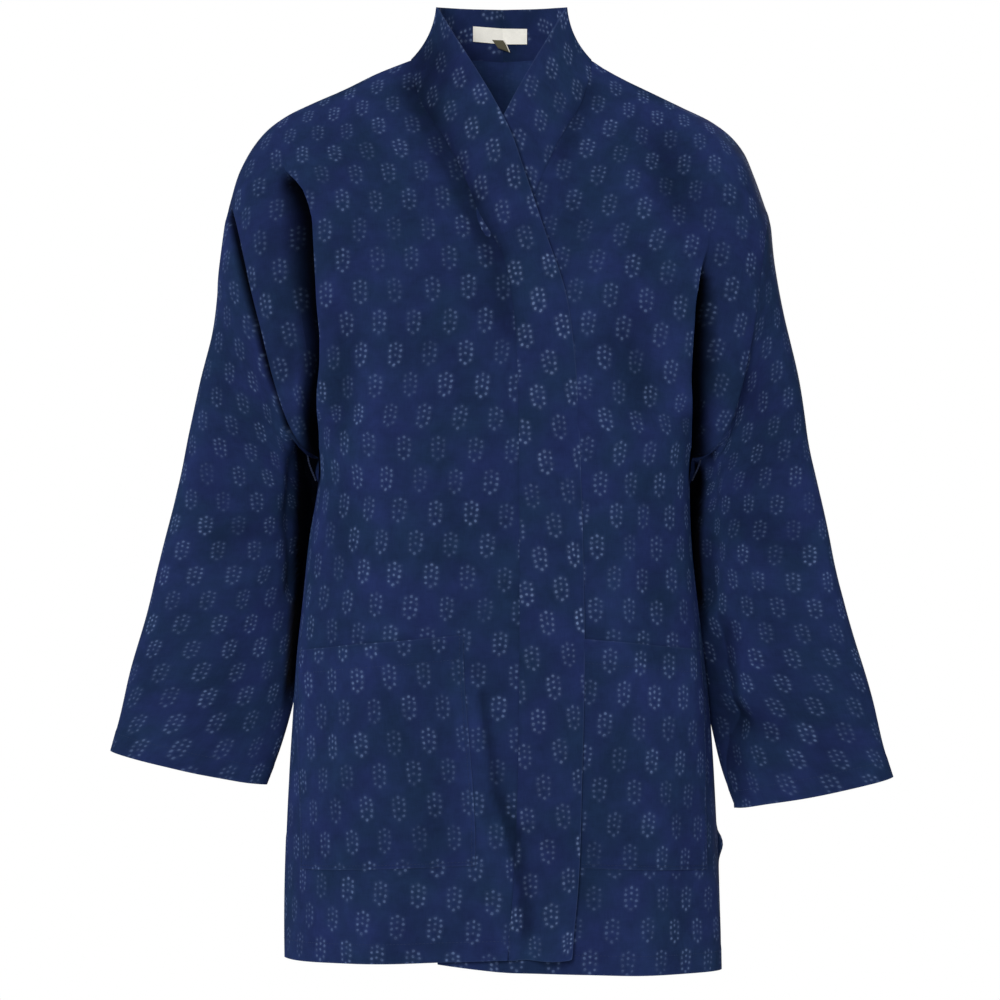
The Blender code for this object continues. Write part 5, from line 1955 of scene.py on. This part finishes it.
    def part_band(self) -> None:
        """Part the band from the front and the back neck, with one normal on both sides of the seam."""
        side, columns = self.side.value, self.form.fine.neck
        front, back, band = (self.grids[part] for part in ("front", "back", "band"))
        front_out, back_out, band_out = (self.out[part] for part in ("front", "back", "band"))
        seam = slice(columns, None)
        shared = unit(front_out[:, 0] + band_out[seam, 0])
        shared[0] = unit(front_out[0, 0] + flatten_axis(band_out[columns, 0], 1))
        toward = unit(np.cross(np.gradient(front[:, 0], axis=0), shared)) * side
        front_out[:, 0] = shared
        front[:, 0] -= toward * self.half_gap
        band_out[seam, 0] = shared
        band[seam, 0] += toward * self.half_gap
        neck = slice(0, columns + 1)
        shared = unit(back_out[0, neck] + band_out[neck, 0])
        shared[0] = flatten_axis(shared[0], 0)
        shared[-1] = front_out[0, 0]
        toward = unit(np.cross(np.gradient(back[0, neck], axis=0), shared)) * side
        back_out[0, neck] = shared
        back[0, neck] -= toward * self.half_gap
        band_out[neck, 0] = shared
        band[:columns, 0] += toward[:-1] * self.half_gap
        band_out[0] = flatten_axis(band_out[0], 0)
        band[0, :, 0] = side * self.half_gap
        back[:, 0, 0] = side * self.half_gap

    def settle_edge(self, grid: np.ndarray, free: np.ndarray) -> np.ndarray:
        """Let the top band's free edge down towards the front below it.

        Args:
            grid: Points of the band.
            free: Distance from its free edge.

        Returns:
            The settled grid.
        """
        if self.side is Side.LEFT:
            return grid
        low = ease(-grid[..., 2], *self.edge_fall_down)
        most, least = self.edge_fall
        fall = most + (least - most) * ease(-grid[..., 2], *self.edge_less_down)
        moved = grid.copy()
        moved[..., 1] += fall * low * ease(free, self.edge_fall_wide, 0.0)
        return moved

    @staticmethod
    def painted_shade(grid: np.ndarray) -> np.ndarray:
        """Factor on the colour from the patches of painted shade, on points in front of the middle."""
        total = np.ones(grid.shape[:2])
        for spot in PAINTED_SHADE:
            away = ((grid[..., 0] - spot.x) / spot.wide) ** 2 + ((grid[..., 2] - spot.z) / spot.tall) ** 2
            total = total * (1 - spot.deeper * np.exp(-away) * (grid[..., 1] < 0))
        return total

    def crease_band(self) -> None:
        """Run the shared creases through a front and its band, alike on both sides of their seam."""
        drape = self.folds("front")
        troughs = [fold for fold in BAND_CREASES[self.side] if fold.depth > 0]
        ridges = [fold for fold in BAND_CREASES[self.side] if fold.depth < 0]
        for part in ("front", "band"):
            sheet = self.sheets[part]
            ahead = np.zeros_like(sheet.normals)
            ahead[..., 1] = Face.FRONT.value
            depth = drape.press(sheet.grid, troughs, ahead, True)
            depth = depth + drape.press(sheet.grid, ridges, ahead, True)
            depth = np.where(sheet.grid[..., 1] > self.crease_y, 0.0, depth)
            sheet.grid -= sheet.normals * depth[..., None]
            # Painted shade: the creases darken the colour in their troughs and lighten it on their ridges.
            sheet.shade = sheet.shade * drape.wear_and_shade(depth * np.where(depth > 0, self.trough_wear, 1.0))

    def groove_armhole(self) -> None:
        """Sink the armhole seam, deepest down the front."""
        steps = self.form.steps / 2
        start = ease(steps, *self.groove_start)
        front = self.side.pick(self.groove_front) * start * ease(steps, *self.groove_front_end)
        back = self.groove_back * start * ease(steps, *self.groove_back_end)
        for part, depth in (("front", front), ("back", back)):
            sheet = self.sheets[part]
            rows = np.zeros(sheet.grid.shape[0])
            rows[: self.form.fine.yoke + 1] = depth
            walk = Sheet.walk(sheet.grid, Edge.OUTER)
            self.folds(part).groove(sheet, walk, rows[:, None], self.groove_wide)
        sheet = self.sheets["sleeve"]
        around = np.concatenate([front, back[-2:0:-1]])
        walk = Sheet.walk(sheet.grid, Edge.TOP)
        self.folds("sleeve").groove(sheet, walk, around[None, :], self.groove_wide * self.groove_sleeve)

    def pocket_sheet(self) -> Sheet:
        """Patch pocket on the front, its mouth a little open."""
        fine = self.form.fine
        first = fine.yoke + fine.chest
        rows = slice(first, first + fine.pocket + 1)
        columns = slice(fine.inner, fine.inner + fine.pocket_columns + 1)
        front = self.sheets["front"]
        grid = front.grid[rows, columns]
        normals = front.normals[rows, columns]
        down = np.linspace(0.0, 1.0, grid.shape[0])[:, None]
        over = np.linspace(0.0, 1.0, grid.shape[1])[None, :]
        shut = 1 - ease(down, 0.0, self.gape_deep)
        gape = self.pocket_gape * shut * np.sin(np.pi * over) ** self.gape_round
        stand = self.pocket_off + gape
        marks = self.wall(grid, {edge: False for edge in Edge})
        shade = front.shade[rows, columns]
        return Sheet(grid + normals * stand[..., None], normals.copy(), *marks, False, shade)

    def print_lays(self) -> dict[str, PrintLay]:
        """How each piece of this side was cut from the printed cloth."""
        if self.side is Side.RIGHT:
            return {
                "front": PrintLay(3.0, 6.0, 9.0),
                "back": PrintLay(0.0, 3.0, 0.0),
                "band": PrintLay(0.0, 8.0, 5.0),
                "sleeve": PrintLay(12.0, 4.0, 11.0),
                "pocket": PrintLay(0.0, 12.0, 3.0),
            }
        return {
            "front": PrintLay(-3.0, 14.0, 2.0),
            "back": PrintLay(0.0, 17.0, 7.0),
            "band": PrintLay(0.0, 2.0, 16.0),
            "sleeve": PrintLay(12.0, 9.0, 21.0),
            "pocket": PrintLay(0.0, 1.0, 18.0),
        }

    def band_places(self, grid: np.ndarray, lay: PrintLay) -> np.ndarray:
        """Print places on the band, which was cut turned a little, more so at the collar.

        Args:
            grid: Points of the band.
            lay: Shift of the print.

        Returns:
            Places on the printed cloth.
        """
        middle = grid[:, grid.shape[1] // 2]
        steps = np.linalg.norm(np.diff(middle, axis=0, prepend=middle[:1]), axis=1)
        up = ease(middle[:, 2], *self.band_turn_z)
        heading = np.radians(self.band_turn[0] + (self.band_turn[1] - self.band_turn[0]) * up)
        walk = np.column_stack([np.cumsum(steps * np.sin(heading)), -np.cumsum(steps * np.cos(heading))])
        over = Sheet.walk(grid, Edge.INNER)
        over = (over - over.mean(axis=1, keepdims=True)) * -self.side.value
        across = walk[:, :1] * -self.side.value + over * np.cos(heading)[:, None] + lay.across * MM
        down = walk[:, 1:] + over * -self.side.value * np.sin(heading)[:, None] + lay.down * MM
        return np.stack([across, down], axis=-1)

    def thickness(self, part: str) -> Any:
        """Cloth thickness of a piece, doubled at its hems."""
        if part in ("band", "pocket"):
            return self.band_cloth if part == "band" else self.cloth
        first, last = (self.hem_deep + step for step in self.hem_ease)
        return self.cloth + (self.hem_cloth - self.cloth) * (1 - ease(self.sheets[part].free, first, last))

    def lay_out(self, part: str, lay: PrintLay) -> tuple[FlatPattern, np.ndarray]:
        """Lay one piece out flat, a sleeve cut open under the arm.

        Args:
            part: The piece.
            lay: How it was cut from the printed cloth.

        Returns:
            The layout and the piece's places on the printed cloth.
        """
        grid = self.flats.get(part, self.sheets[part].grid)
        if part == "band":
            return FlatPattern(grid), self.band_places(grid, lay)
        if not self.sheets[part].closed:
            pattern = FlatPattern(grid)
            return pattern, pattern.printed(lay)
        middle = grid.shape[1] // 2
        opened = np.roll(grid, -middle, axis=1)
        pattern = FlatPattern(np.concatenate([opened, opened[:, :1]], axis=1), level_hem=True)
        places = pattern.printed(lay)
        before = places[:, middle:-1] - (places[:, -1:] - places[:, :1])
        return pattern, np.concatenate([before, places[:, : middle + 1]], axis=1)

    def sew(self) -> list[bpy.types.Object]:
        """Returns:
            The pieces.
        """
        self.cut()
        pieces = []
        for part, lay in self.print_lays().items():
            node = f"{part}_{self.side.word}"
            sheet = self.sheets[part]
            pattern, places = self.lay_out(part, lay)
            outside = self.finish.band if part == "band" else self.finish.cotton
            inside = self.finish.band if part == "band" else self.finish.reverse
            piece = ClothShell(f"{node}_cloth", outside, inside).build(sheet, self.thickness(part), places)
            area, flat = pattern.area(), pattern.size()
            if part == "band":
                length = float(Sheet.walk(sheet.grid, Edge.TOP)[-1].mean())
                flat = (area / length, length)
            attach(piece, "root")
            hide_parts(node)
            LOG.info("%s: %d faces, cut %.3f x %.3f m", piece.name, len(piece.data.polygons), *flat)
            pieces.append(piece)
        return pieces

    def stitch_lines(self) -> list[np.ndarray]:
        """Lines of sewing on the outside of this side's pieces."""
        lines = []
        thin, thick = self.cloth / 2, self.hem_cloth / 2
        hem = self.hem_deep - self.hem_stitch_in
        for part, _ in self.FACES:
            sheet = self.sheets[part]
            lines.append(sheet.line(Edge.BOTTOM, hem, thick))
            below = sheet.grid[:, -1, 2] < self.vent_top_z
            lines.append(sheet.line(Edge.OUTER, self.vent_stitch_in, thin)[below][:-6])
        cuff = self.sheets["sleeve"].line(Edge.BOTTOM, hem, thick)
        lines.append(np.concatenate([cuff, cuff[:1]]))
        pocket = self.sheets["pocket"]
        lines.append(pocket.line(Edge.TOP, self.mouth_stitch_in, thin)[3:-3])
        lines.append(pocket.line(Edge.BOTTOM, self.pocket_stitch_in, thick)[2:-2])
        for edge in (Edge.INNER, Edge.OUTER):
            lines.append(pocket.line(edge, self.pocket_stitch_in, thick))
        return lines


@dataclass
class Stitching:
    """Rows of small running stitches along lines on the cloth."""

    name: str
    lines: list[np.ndarray]
    finish: bpy.types.Material
    slot: str
    pitch: float = 0.0034
    length: float = 0.0023
    thick: float = 0.0004
    vary: tuple[float, float] = (0.86, 1.08)
    seed: int = 7

    def tree(self) -> bpy.types.GeometryNodeTree:
        """Node tree that sets a stitch at each pitch along its lines."""
        tree = bpy.data.node_groups.new(f"{self.name}_stitch", "GeometryNodeTree")
        kinds = {
            "Lines": "Geometry",
            "Pitch": "Float",
            "Length": "Float",
            "Thickness": "Float",
            "Seed": "Int",
            "Thread": "Material",
        }
        for name, kind in kinds.items():
            tree.interface.new_socket(name, in_out="INPUT", socket_type=f"NodeSocket{kind}")
        tree.interface.new_socket("Stitches", in_out="OUTPUT", socket_type="NodeSocketGeometry")
        add = partial(add_node, tree)
        given = add("NodeGroupInput").outputs
        curve = add("GeometryNodeMeshToCurve", {}, {0: given["Lines"]})
        inputs = {"Curve": curve.outputs[0], "Length": given["Pitch"]}
        even = add("GeometryNodeResampleCurve", {"mode": "LENGTH"}, inputs)
        bead = add("GeometryNodeMeshUVSphere", {}, {"Segments": 6, "Rings": 4, "Radius": 0.5})
        thick = given["Thickness"]
        size = add("ShaderNodeCombineXYZ", {}, {0: thick, 1: thick, 2: given["Length"]})
        inputs = {2: self.vary[0], 3: self.vary[1], "Seed": given["Seed"]}
        chance = add("FunctionNodeRandomValue", {"data_type": "FLOAT"}, inputs)
        inputs = {0: size.outputs[0], "Scale": chance.outputs[1]}
        scale = add("ShaderNodeVectorMath", {"operation": "SCALE"}, inputs)
        tangent = add("GeometryNodeInputTangent")
        turn = add("FunctionNodeAlignRotationToVector", {"axis": "Z"}, {"Vector": tangent.outputs[0]})
        inputs = {
            "Points": even.outputs[0],
            "Instance": bead.outputs["Mesh"],
            "Rotation": turn.outputs[0],
            "Scale": scale.outputs[0],
        }
        placed = add("GeometryNodeInstanceOnPoints", {}, inputs)
        solid = add("GeometryNodeRealizeInstances", {}, {0: placed.outputs[0]})
        inputs = {"Geometry": solid.outputs[0], "Material": given["Thread"]}
        dressed = add("GeometryNodeSetMaterial", {}, inputs)
        add("NodeGroupOutput", {}, {0: dressed.outputs[0]})
        return tree

    def build(self) -> bpy.types.Object:
        """Make the stitches one plain mesh.

        Returns:
            The piece.
        """
        points = np.concatenate(self.lines)
        starts = np.cumsum([0] + [len(line) for line in self.lines])
        edges = [(k, k + 1) for a, b in zip(starts[:-1], starts[1:]) for k in range(a, b - 1)]
        path = bpy.data.meshes.new(f"{self.name}_lines")
        path.from_pydata(points.tolist(), edges, [])
        holder = put(f"{self.name}_lines", path)
        modifier = holder.modifiers.new("stitch", "NODES")
        modifier.node_group = self.tree()
        values = {
            "Pitch": self.pitch,
            "Length": self.length,
            "Thickness": self.thick,
            "Seed": self.seed,
            "Thread": self.finish,
        }
        for item in modifier.node_group.interface.items_tree:
            if item.in_out == "INPUT" and item.name in values:
                modifier[item.identifier] = values[item.name]
        graph = bpy.context.evaluated_depsgraph_get()
        mesh = bpy.data.meshes.new_from_object(holder.evaluated_get(graph))
        mesh.name = self.name
        bpy.data.objects.remove(holder, do_unlink=True)
        mesh.shade_smooth()
        piece = put(self.name, mesh)
        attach(piece, "root")
        LOG.info("%s: %d faces", piece.name, len(mesh.polygons))
        return piece


@dataclass
class NeckTapes:
    """Blank label inside the collar at the back neck, and the folded size tab under it."""

    form: JacketForm
    finish: Wardrobe
    label_x: tuple[float, float] = (-0.0300, 0.0240)
    label_shares: tuple[float, float] = (0.37, 0.67)
    tab_x: tuple[float, float] = (-0.0110, 0.0020)
    tab_shares: tuple[float, float] = (0.26, 0.420)
    tab_off: float = 0.0016
    label_tilt: float = 0.045
    tab_slant: float = 0.75
    tab_droop: float = 0.35
    tab_droop_down: tuple[float, float] = (0.002, 0.010)
    tab_turn: tuple[float, float] = (0.42, 0.58)
    tab_steps: tuple[int, int] = (24, 14)
    label_steps: tuple[int, int] = (12, 40)
    label_stitch: tuple[float, float, float] = (0.0017, 0.0013, 0.0003)
    stitch_in: float = 0.0018
    curl: float = 0.0007
    curl_base: float = 0.0004
    fold: float = 0.0007
    label_tape: float = 0.0007
    tab_tape: float = 0.0004
    band_wide: float = 0.062
    band_cloth: float = 0.0026
    off_band: float = 0.0014

    def inside(
        self, span: tuple[float, float], shares: np.ndarray, columns: int
    ) -> tuple[np.ndarray, np.ndarray]:
        """Sheet on the inside of the collar at the back neck.

        Args:
            span: From and to x.
            shares: Height of each row, as a share of the band's width.
            columns: Number of steps across.

        Returns:
            Points and directions out of the collar.
        """
        across = np.linspace(*span, columns + 1)
        places = np.linspace(0.0, 1.0, 400)
        lines = []
        for edge in (False, True):
            half = self.form.neck_curve(Side.RIGHT, edge, places) * (-1, 1, 1)
            y = np.interp(np.abs(across), half[:, 0], half[:, 1])
            z = np.interp(np.abs(across), half[:, 0], half[:, 2])
            lines.append(np.column_stack([across, y, z]))
        up = shares[:, None, None]
        sheet = lines[0][None] * (1 - up) + lines[1][None] * up
        outward = unit(np.cross(lines[1] - lines[0], np.gradient(lines[0] + lines[1], axis=0)))
        outward = np.broadcast_to(outward * np.sign(outward[:, 1:2]), sheet.shape)
        round_neck = np.interp(np.abs(across), half[:, 0], places)
        crown = self.form.neck_side_crown * round_neck[None, :, None] * 4 * up * (1 - up)
        return sheet + outward * (crown - self.band_cloth / 2 - self.off_band), outward

    def piece(
        self, node: str, tape: float, grid: np.ndarray, normals: np.ndarray, places: np.ndarray
    ) -> tuple[bpy.types.Object, Sheet]:
        """Args:
            node: Node that it stands for.
            tape: Thickness.
            grid: Middle points.
            normals: Directions out of the tape.
            places: Places on the flat tape.

        Returns:
            The piece and its sheet.
        """
        finish, slot = {
            "label": (self.finish.label, "cream_tape"),
            "size_tab": (self.finish.tab, "olive_tape"),
        }[node]
        far = np.full(grid.shape[:2], 1.0)
        sheet = Sheet(grid, normals, far, far)
        made = ClothShell(f"{node}_tape", finish, finish).build(sheet, tape, places)
        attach(made, "root")
        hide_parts(node)
        return made, sheet

    def sew(self) -> list[bpy.types.Object]:
        """Make both tapes and the label's end stitches.

        Returns:
            The pieces.
        """
        return [*self.label(), self.tab()]

    def label(self) -> list[bpy.types.Object]:
        """Make the label, a little curled, and the stitches at its ends.

        Returns:
            The label and its stitches.
        """
        rows, columns = self.label_steps
        grid, outward = self.inside(self.label_x, np.linspace(*self.label_shares[::-1], rows + 1), columns)
        over = np.linspace(-1.0, 1.0, columns + 1)[None, :]
        down = np.linspace(-1.0, 1.0, rows + 1)[:, None]
        curl = self.curl * (1 - over**8) * (0.5 + 0.5 * np.abs(down) ** 2)
        curl = curl * (0.8 + 0.2 * np.sin(4 * over + 1))
        grid = grid - outward * (curl - self.curl_base)[..., None]
        grid[..., 2] -= self.label_tilt * (grid[..., 0] - self.label_x[0])
        places = np.stack([Sheet.walk(grid, Edge.INNER), -Sheet.walk(grid, Edge.TOP)], axis=-1)
        made, sheet = self.piece("label", self.label_tape, grid, -outward, places)
        ends = (Edge.INNER, Edge.OUTER)
        lines = [sheet.line(edge, self.stitch_in, self.label_tape / 2)[1:-1] for edge in ends]
        thread = self.finish.pale_sewing
        stitches = Stitching("label_stitches", lines, thread, "cream_tape", *self.label_stitch)
        return [made, stitches.build()]

    def tab(self) -> bpy.types.Object:
        """Make the size tab, folded at its lower end and hanging askew.

        Returns:
            The piece.
        """
        rows, columns = self.tab_steps
        low, high = self.tab_shares
        turn = np.linspace(0.0, 1.0, rows + 1)
        height = np.where(turn < 0.5, high + (low - high) * turn * 2, low + (high - low) * (turn * 2 - 1))
        fold = self.fold * np.cos(np.pi * ease(turn, *self.tab_turn))
        grid, outward = self.inside(self.tab_x, height, columns)
        grid = grid - outward * (fold[:, None, None] + self.tab_off)
        drop = grid[0, :, 2].mean() - grid[..., 2]
        grid[..., 0] += self.tab_slant * drop
        grid[..., 2] -= self.tab_droop * (grid[..., 0] - grid[..., :1, 0]) * ease(drop, *self.tab_droop_down)
        walk = np.cumsum(np.abs(np.diff(height, prepend=height[0]))) * self.band_wide
        down = np.broadcast_to(-walk[:, None], grid.shape[:2])
        places = np.stack([Sheet.walk(grid, Edge.INNER), down], axis=-1)
        normals = unit(np.cross(np.gradient(grid, axis=0), np.gradient(grid, axis=1)))
        front = slice(0, rows // 3)
        if np.sum(normals[front] * outward[front]) > 0:
            normals = -normals
        return self.piece("size_tab", self.tab_tape, grid, normals, places)[0]


@dataclass
class BeltLoop:
    """Narrow two-ply thread loop that stands out from the side seam at the waist."""

    side: Side
    finish: bpy.types.Material
    top_z: float = -0.358
    low_z: float = -0.398
    stand: float = 0.0030
    bulge: float = 0.0080
    peak: float = 0.36
    y: float = -0.010
    bulge_power: float = 1.1
    ply: float = 0.00050
    ply_off: float = 0.85
    twist: float = 9.0
    steps: int = 110
    sides: int = 8

    def sew(self) -> bpy.types.Object:
        """Make the loop.

        Returns:
            The piece.
        """
        shares = np.linspace(0.0, 1.0, self.steps + 1)
        heights = self.top_z + (self.low_z - self.top_z) * shares
        half = column(RINGS, self.side.half, heights)
        rise = np.where(shares < self.peak, shares / self.peak, (1 - shares) / (1 - self.peak))
        out = self.stand + self.bulge * np.sin(np.pi / 2 * rise) ** self.bulge_power
        path = np.column_stack([self.side.value * (half + out), np.full_like(shares, self.y), heights])
        tangent = unit(np.gradient(path, axis=0))
        across = np.array([0.0, 1.0, 0.0])
        beside = unit(np.cross(tangent, across))
        points, faces = [], []
        for strand in (0.0, math.pi):
            angle = 2 * np.pi * self.twist * shares + strand
            spiral = np.cos(angle)[:, None] * across + np.sin(angle)[:, None] * beside
            centre = path + self.ply * self.ply_off * spiral
            start = len(points)
            for spot, side in zip(centre, beside):
                for k in range(self.sides):
                    turn = 2 * math.pi * k / self.sides
                    points.append(spot + self.ply * (math.cos(turn) * across + math.sin(turn) * side))
            for ring in range(self.steps):
                for k in range(self.sides):
                    a = start + ring * self.sides + k
                    b = start + ring * self.sides + (k + 1) % self.sides
                    faces.append((a, b, b + self.sides, a + self.sides))
            faces.append(tuple(start + k for k in range(self.sides - 1, -1, -1)))
            faces.append(tuple(start + self.steps * self.sides + k for k in range(self.sides)))
        mesh = bpy.data.meshes.new(f"belt_loop_{self.side.word}_cord")
        mesh.from_pydata([tuple(p) for p in points], [], faces)
        first = np.array(points)[np.array(faces[0])]
        spoke = first.mean(axis=0) - np.array(points[: self.sides]).mean(axis=0)
        if np.cross(first[1] - first[0], first[3] - first[0]) @ spoke < 0:
            mesh.flip_normals()
        mesh.materials.append(self.finish)
        mesh.shade_smooth()
        piece = put(mesh.name, mesh)
        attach(piece, "root")
        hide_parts(f"belt_loop_{self.side.word}")
        LOG.info("%s: %d faces", piece.name, len(mesh.polygons))
        return piece


@dataclass(frozen=True)
class Studio:
    """Pale floor, soft light and the camera."""

    floor_z: float = -1.40
    distance: float = 3.6
    camera_x: float = -0.00285
    camera_z: float = -0.4161
    view: float = 0.95
    sensor: float = 36.0
    ambient: float = 0.28
    floor_reach: float = 6.0
    floor_behind: float = 3.0

    def set_up(self) -> None:
        """Make the floor, the lights, the world and the camera."""
        self.floor()
        self.lamp("key", (-0.85, -3.8, 0.45), 1.7, 127.0)
        self.lamp("fill", (2.2, -2.6, -0.1), 2.0, 9.0)
        self.lamp("back", (0.7, 3.4, 0.7), 1.8, 80.0)
        scene = bpy.context.scene
        world = bpy.data.worlds.new("studio")
        world.use_nodes = True
        ground = world.node_tree.nodes["Background"]
        ground.inputs["Color"].default_value = (1.0, 1.0, 1.0, 1.0)
        seen = world.node_tree.nodes.new("ShaderNodeLightPath")
        level = world.node_tree.nodes.new("ShaderNodeMapRange")
        level.inputs["To Min"].default_value = self.ambient
        world.node_tree.links.new(seen.outputs["Is Camera Ray"], level.inputs["Value"])
        world.node_tree.links.new(level.outputs[0], ground.inputs["Strength"])
        scene.world = world
        scene.view_settings.view_transform = "Standard"
        lens = bpy.data.cameras.new("camera")
        lens.sensor_width = self.sensor
        lens.lens = self.sensor * self.distance / self.view
        camera = put("camera", lens)
        camera.location = (self.camera_x, -self.distance, self.camera_z)
        camera.rotation_euler = (math.pi / 2, 0.0, 0.0)
        scene.camera = camera

    def floor(self) -> None:
        """A plain pale floor."""
        mesh = bpy.data.meshes.new("floor")
        reach, behind = self.floor_reach, self.floor_behind
        corners = [(-reach, -reach), (reach, -reach), (reach, behind), (-reach, behind)]
        mesh.from_pydata([(x, y, self.floor_z) for x, y in corners], [], [(0, 1, 2, 3)])
        desk = Desk("pale_floor")
        desk.feed("Base Color", (0.82, 0.82, 0.82, 1.0))
        desk.feed("Roughness", 0.9)
        mesh.materials.append(desk.material)
        floor = put("floor", mesh)

    def lamp(self, name: str, place: tuple[float, float, float], size: float, power: float) -> None:
        """A soft square lamp that faces the jacket's middle."""
        light = bpy.data.lights.new(name, "AREA")
        light.size = size
        light.energy = power
        lamp = put(name, light)
        lamp.location = place
        aim = unit(np.array([0.0, 0.0, self.camera_z]) - np.array(place))
        pitch = math.pi / 2 + math.atan2(aim[2], math.hypot(aim[0], aim[1]))
        lamp.rotation_euler = (pitch, 0.0, math.atan2(aim[1], aim[0]) - math.pi / 2)


def main() -> None:
    """Build the jacket, piece by piece, and the studio round it."""
    logging.basicConfig(level=logging.INFO, format="%(name)s %(message)s")
    form = JacketForm()
    finish = Wardrobe.make()
    lines = []
    for side in Side:
        half = JacketSide(side, form, finish)
        half.sew()
        lines += half.stitch_lines()
        BeltLoop(side, finish.cord).sew()
    Stitching("seam_stitches", lines, finish.sewing, "indigo_print").build()
    NeckTapes(form, finish).sew()
    Studio().set_up()
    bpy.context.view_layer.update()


if __name__ == "__main__":
    main()
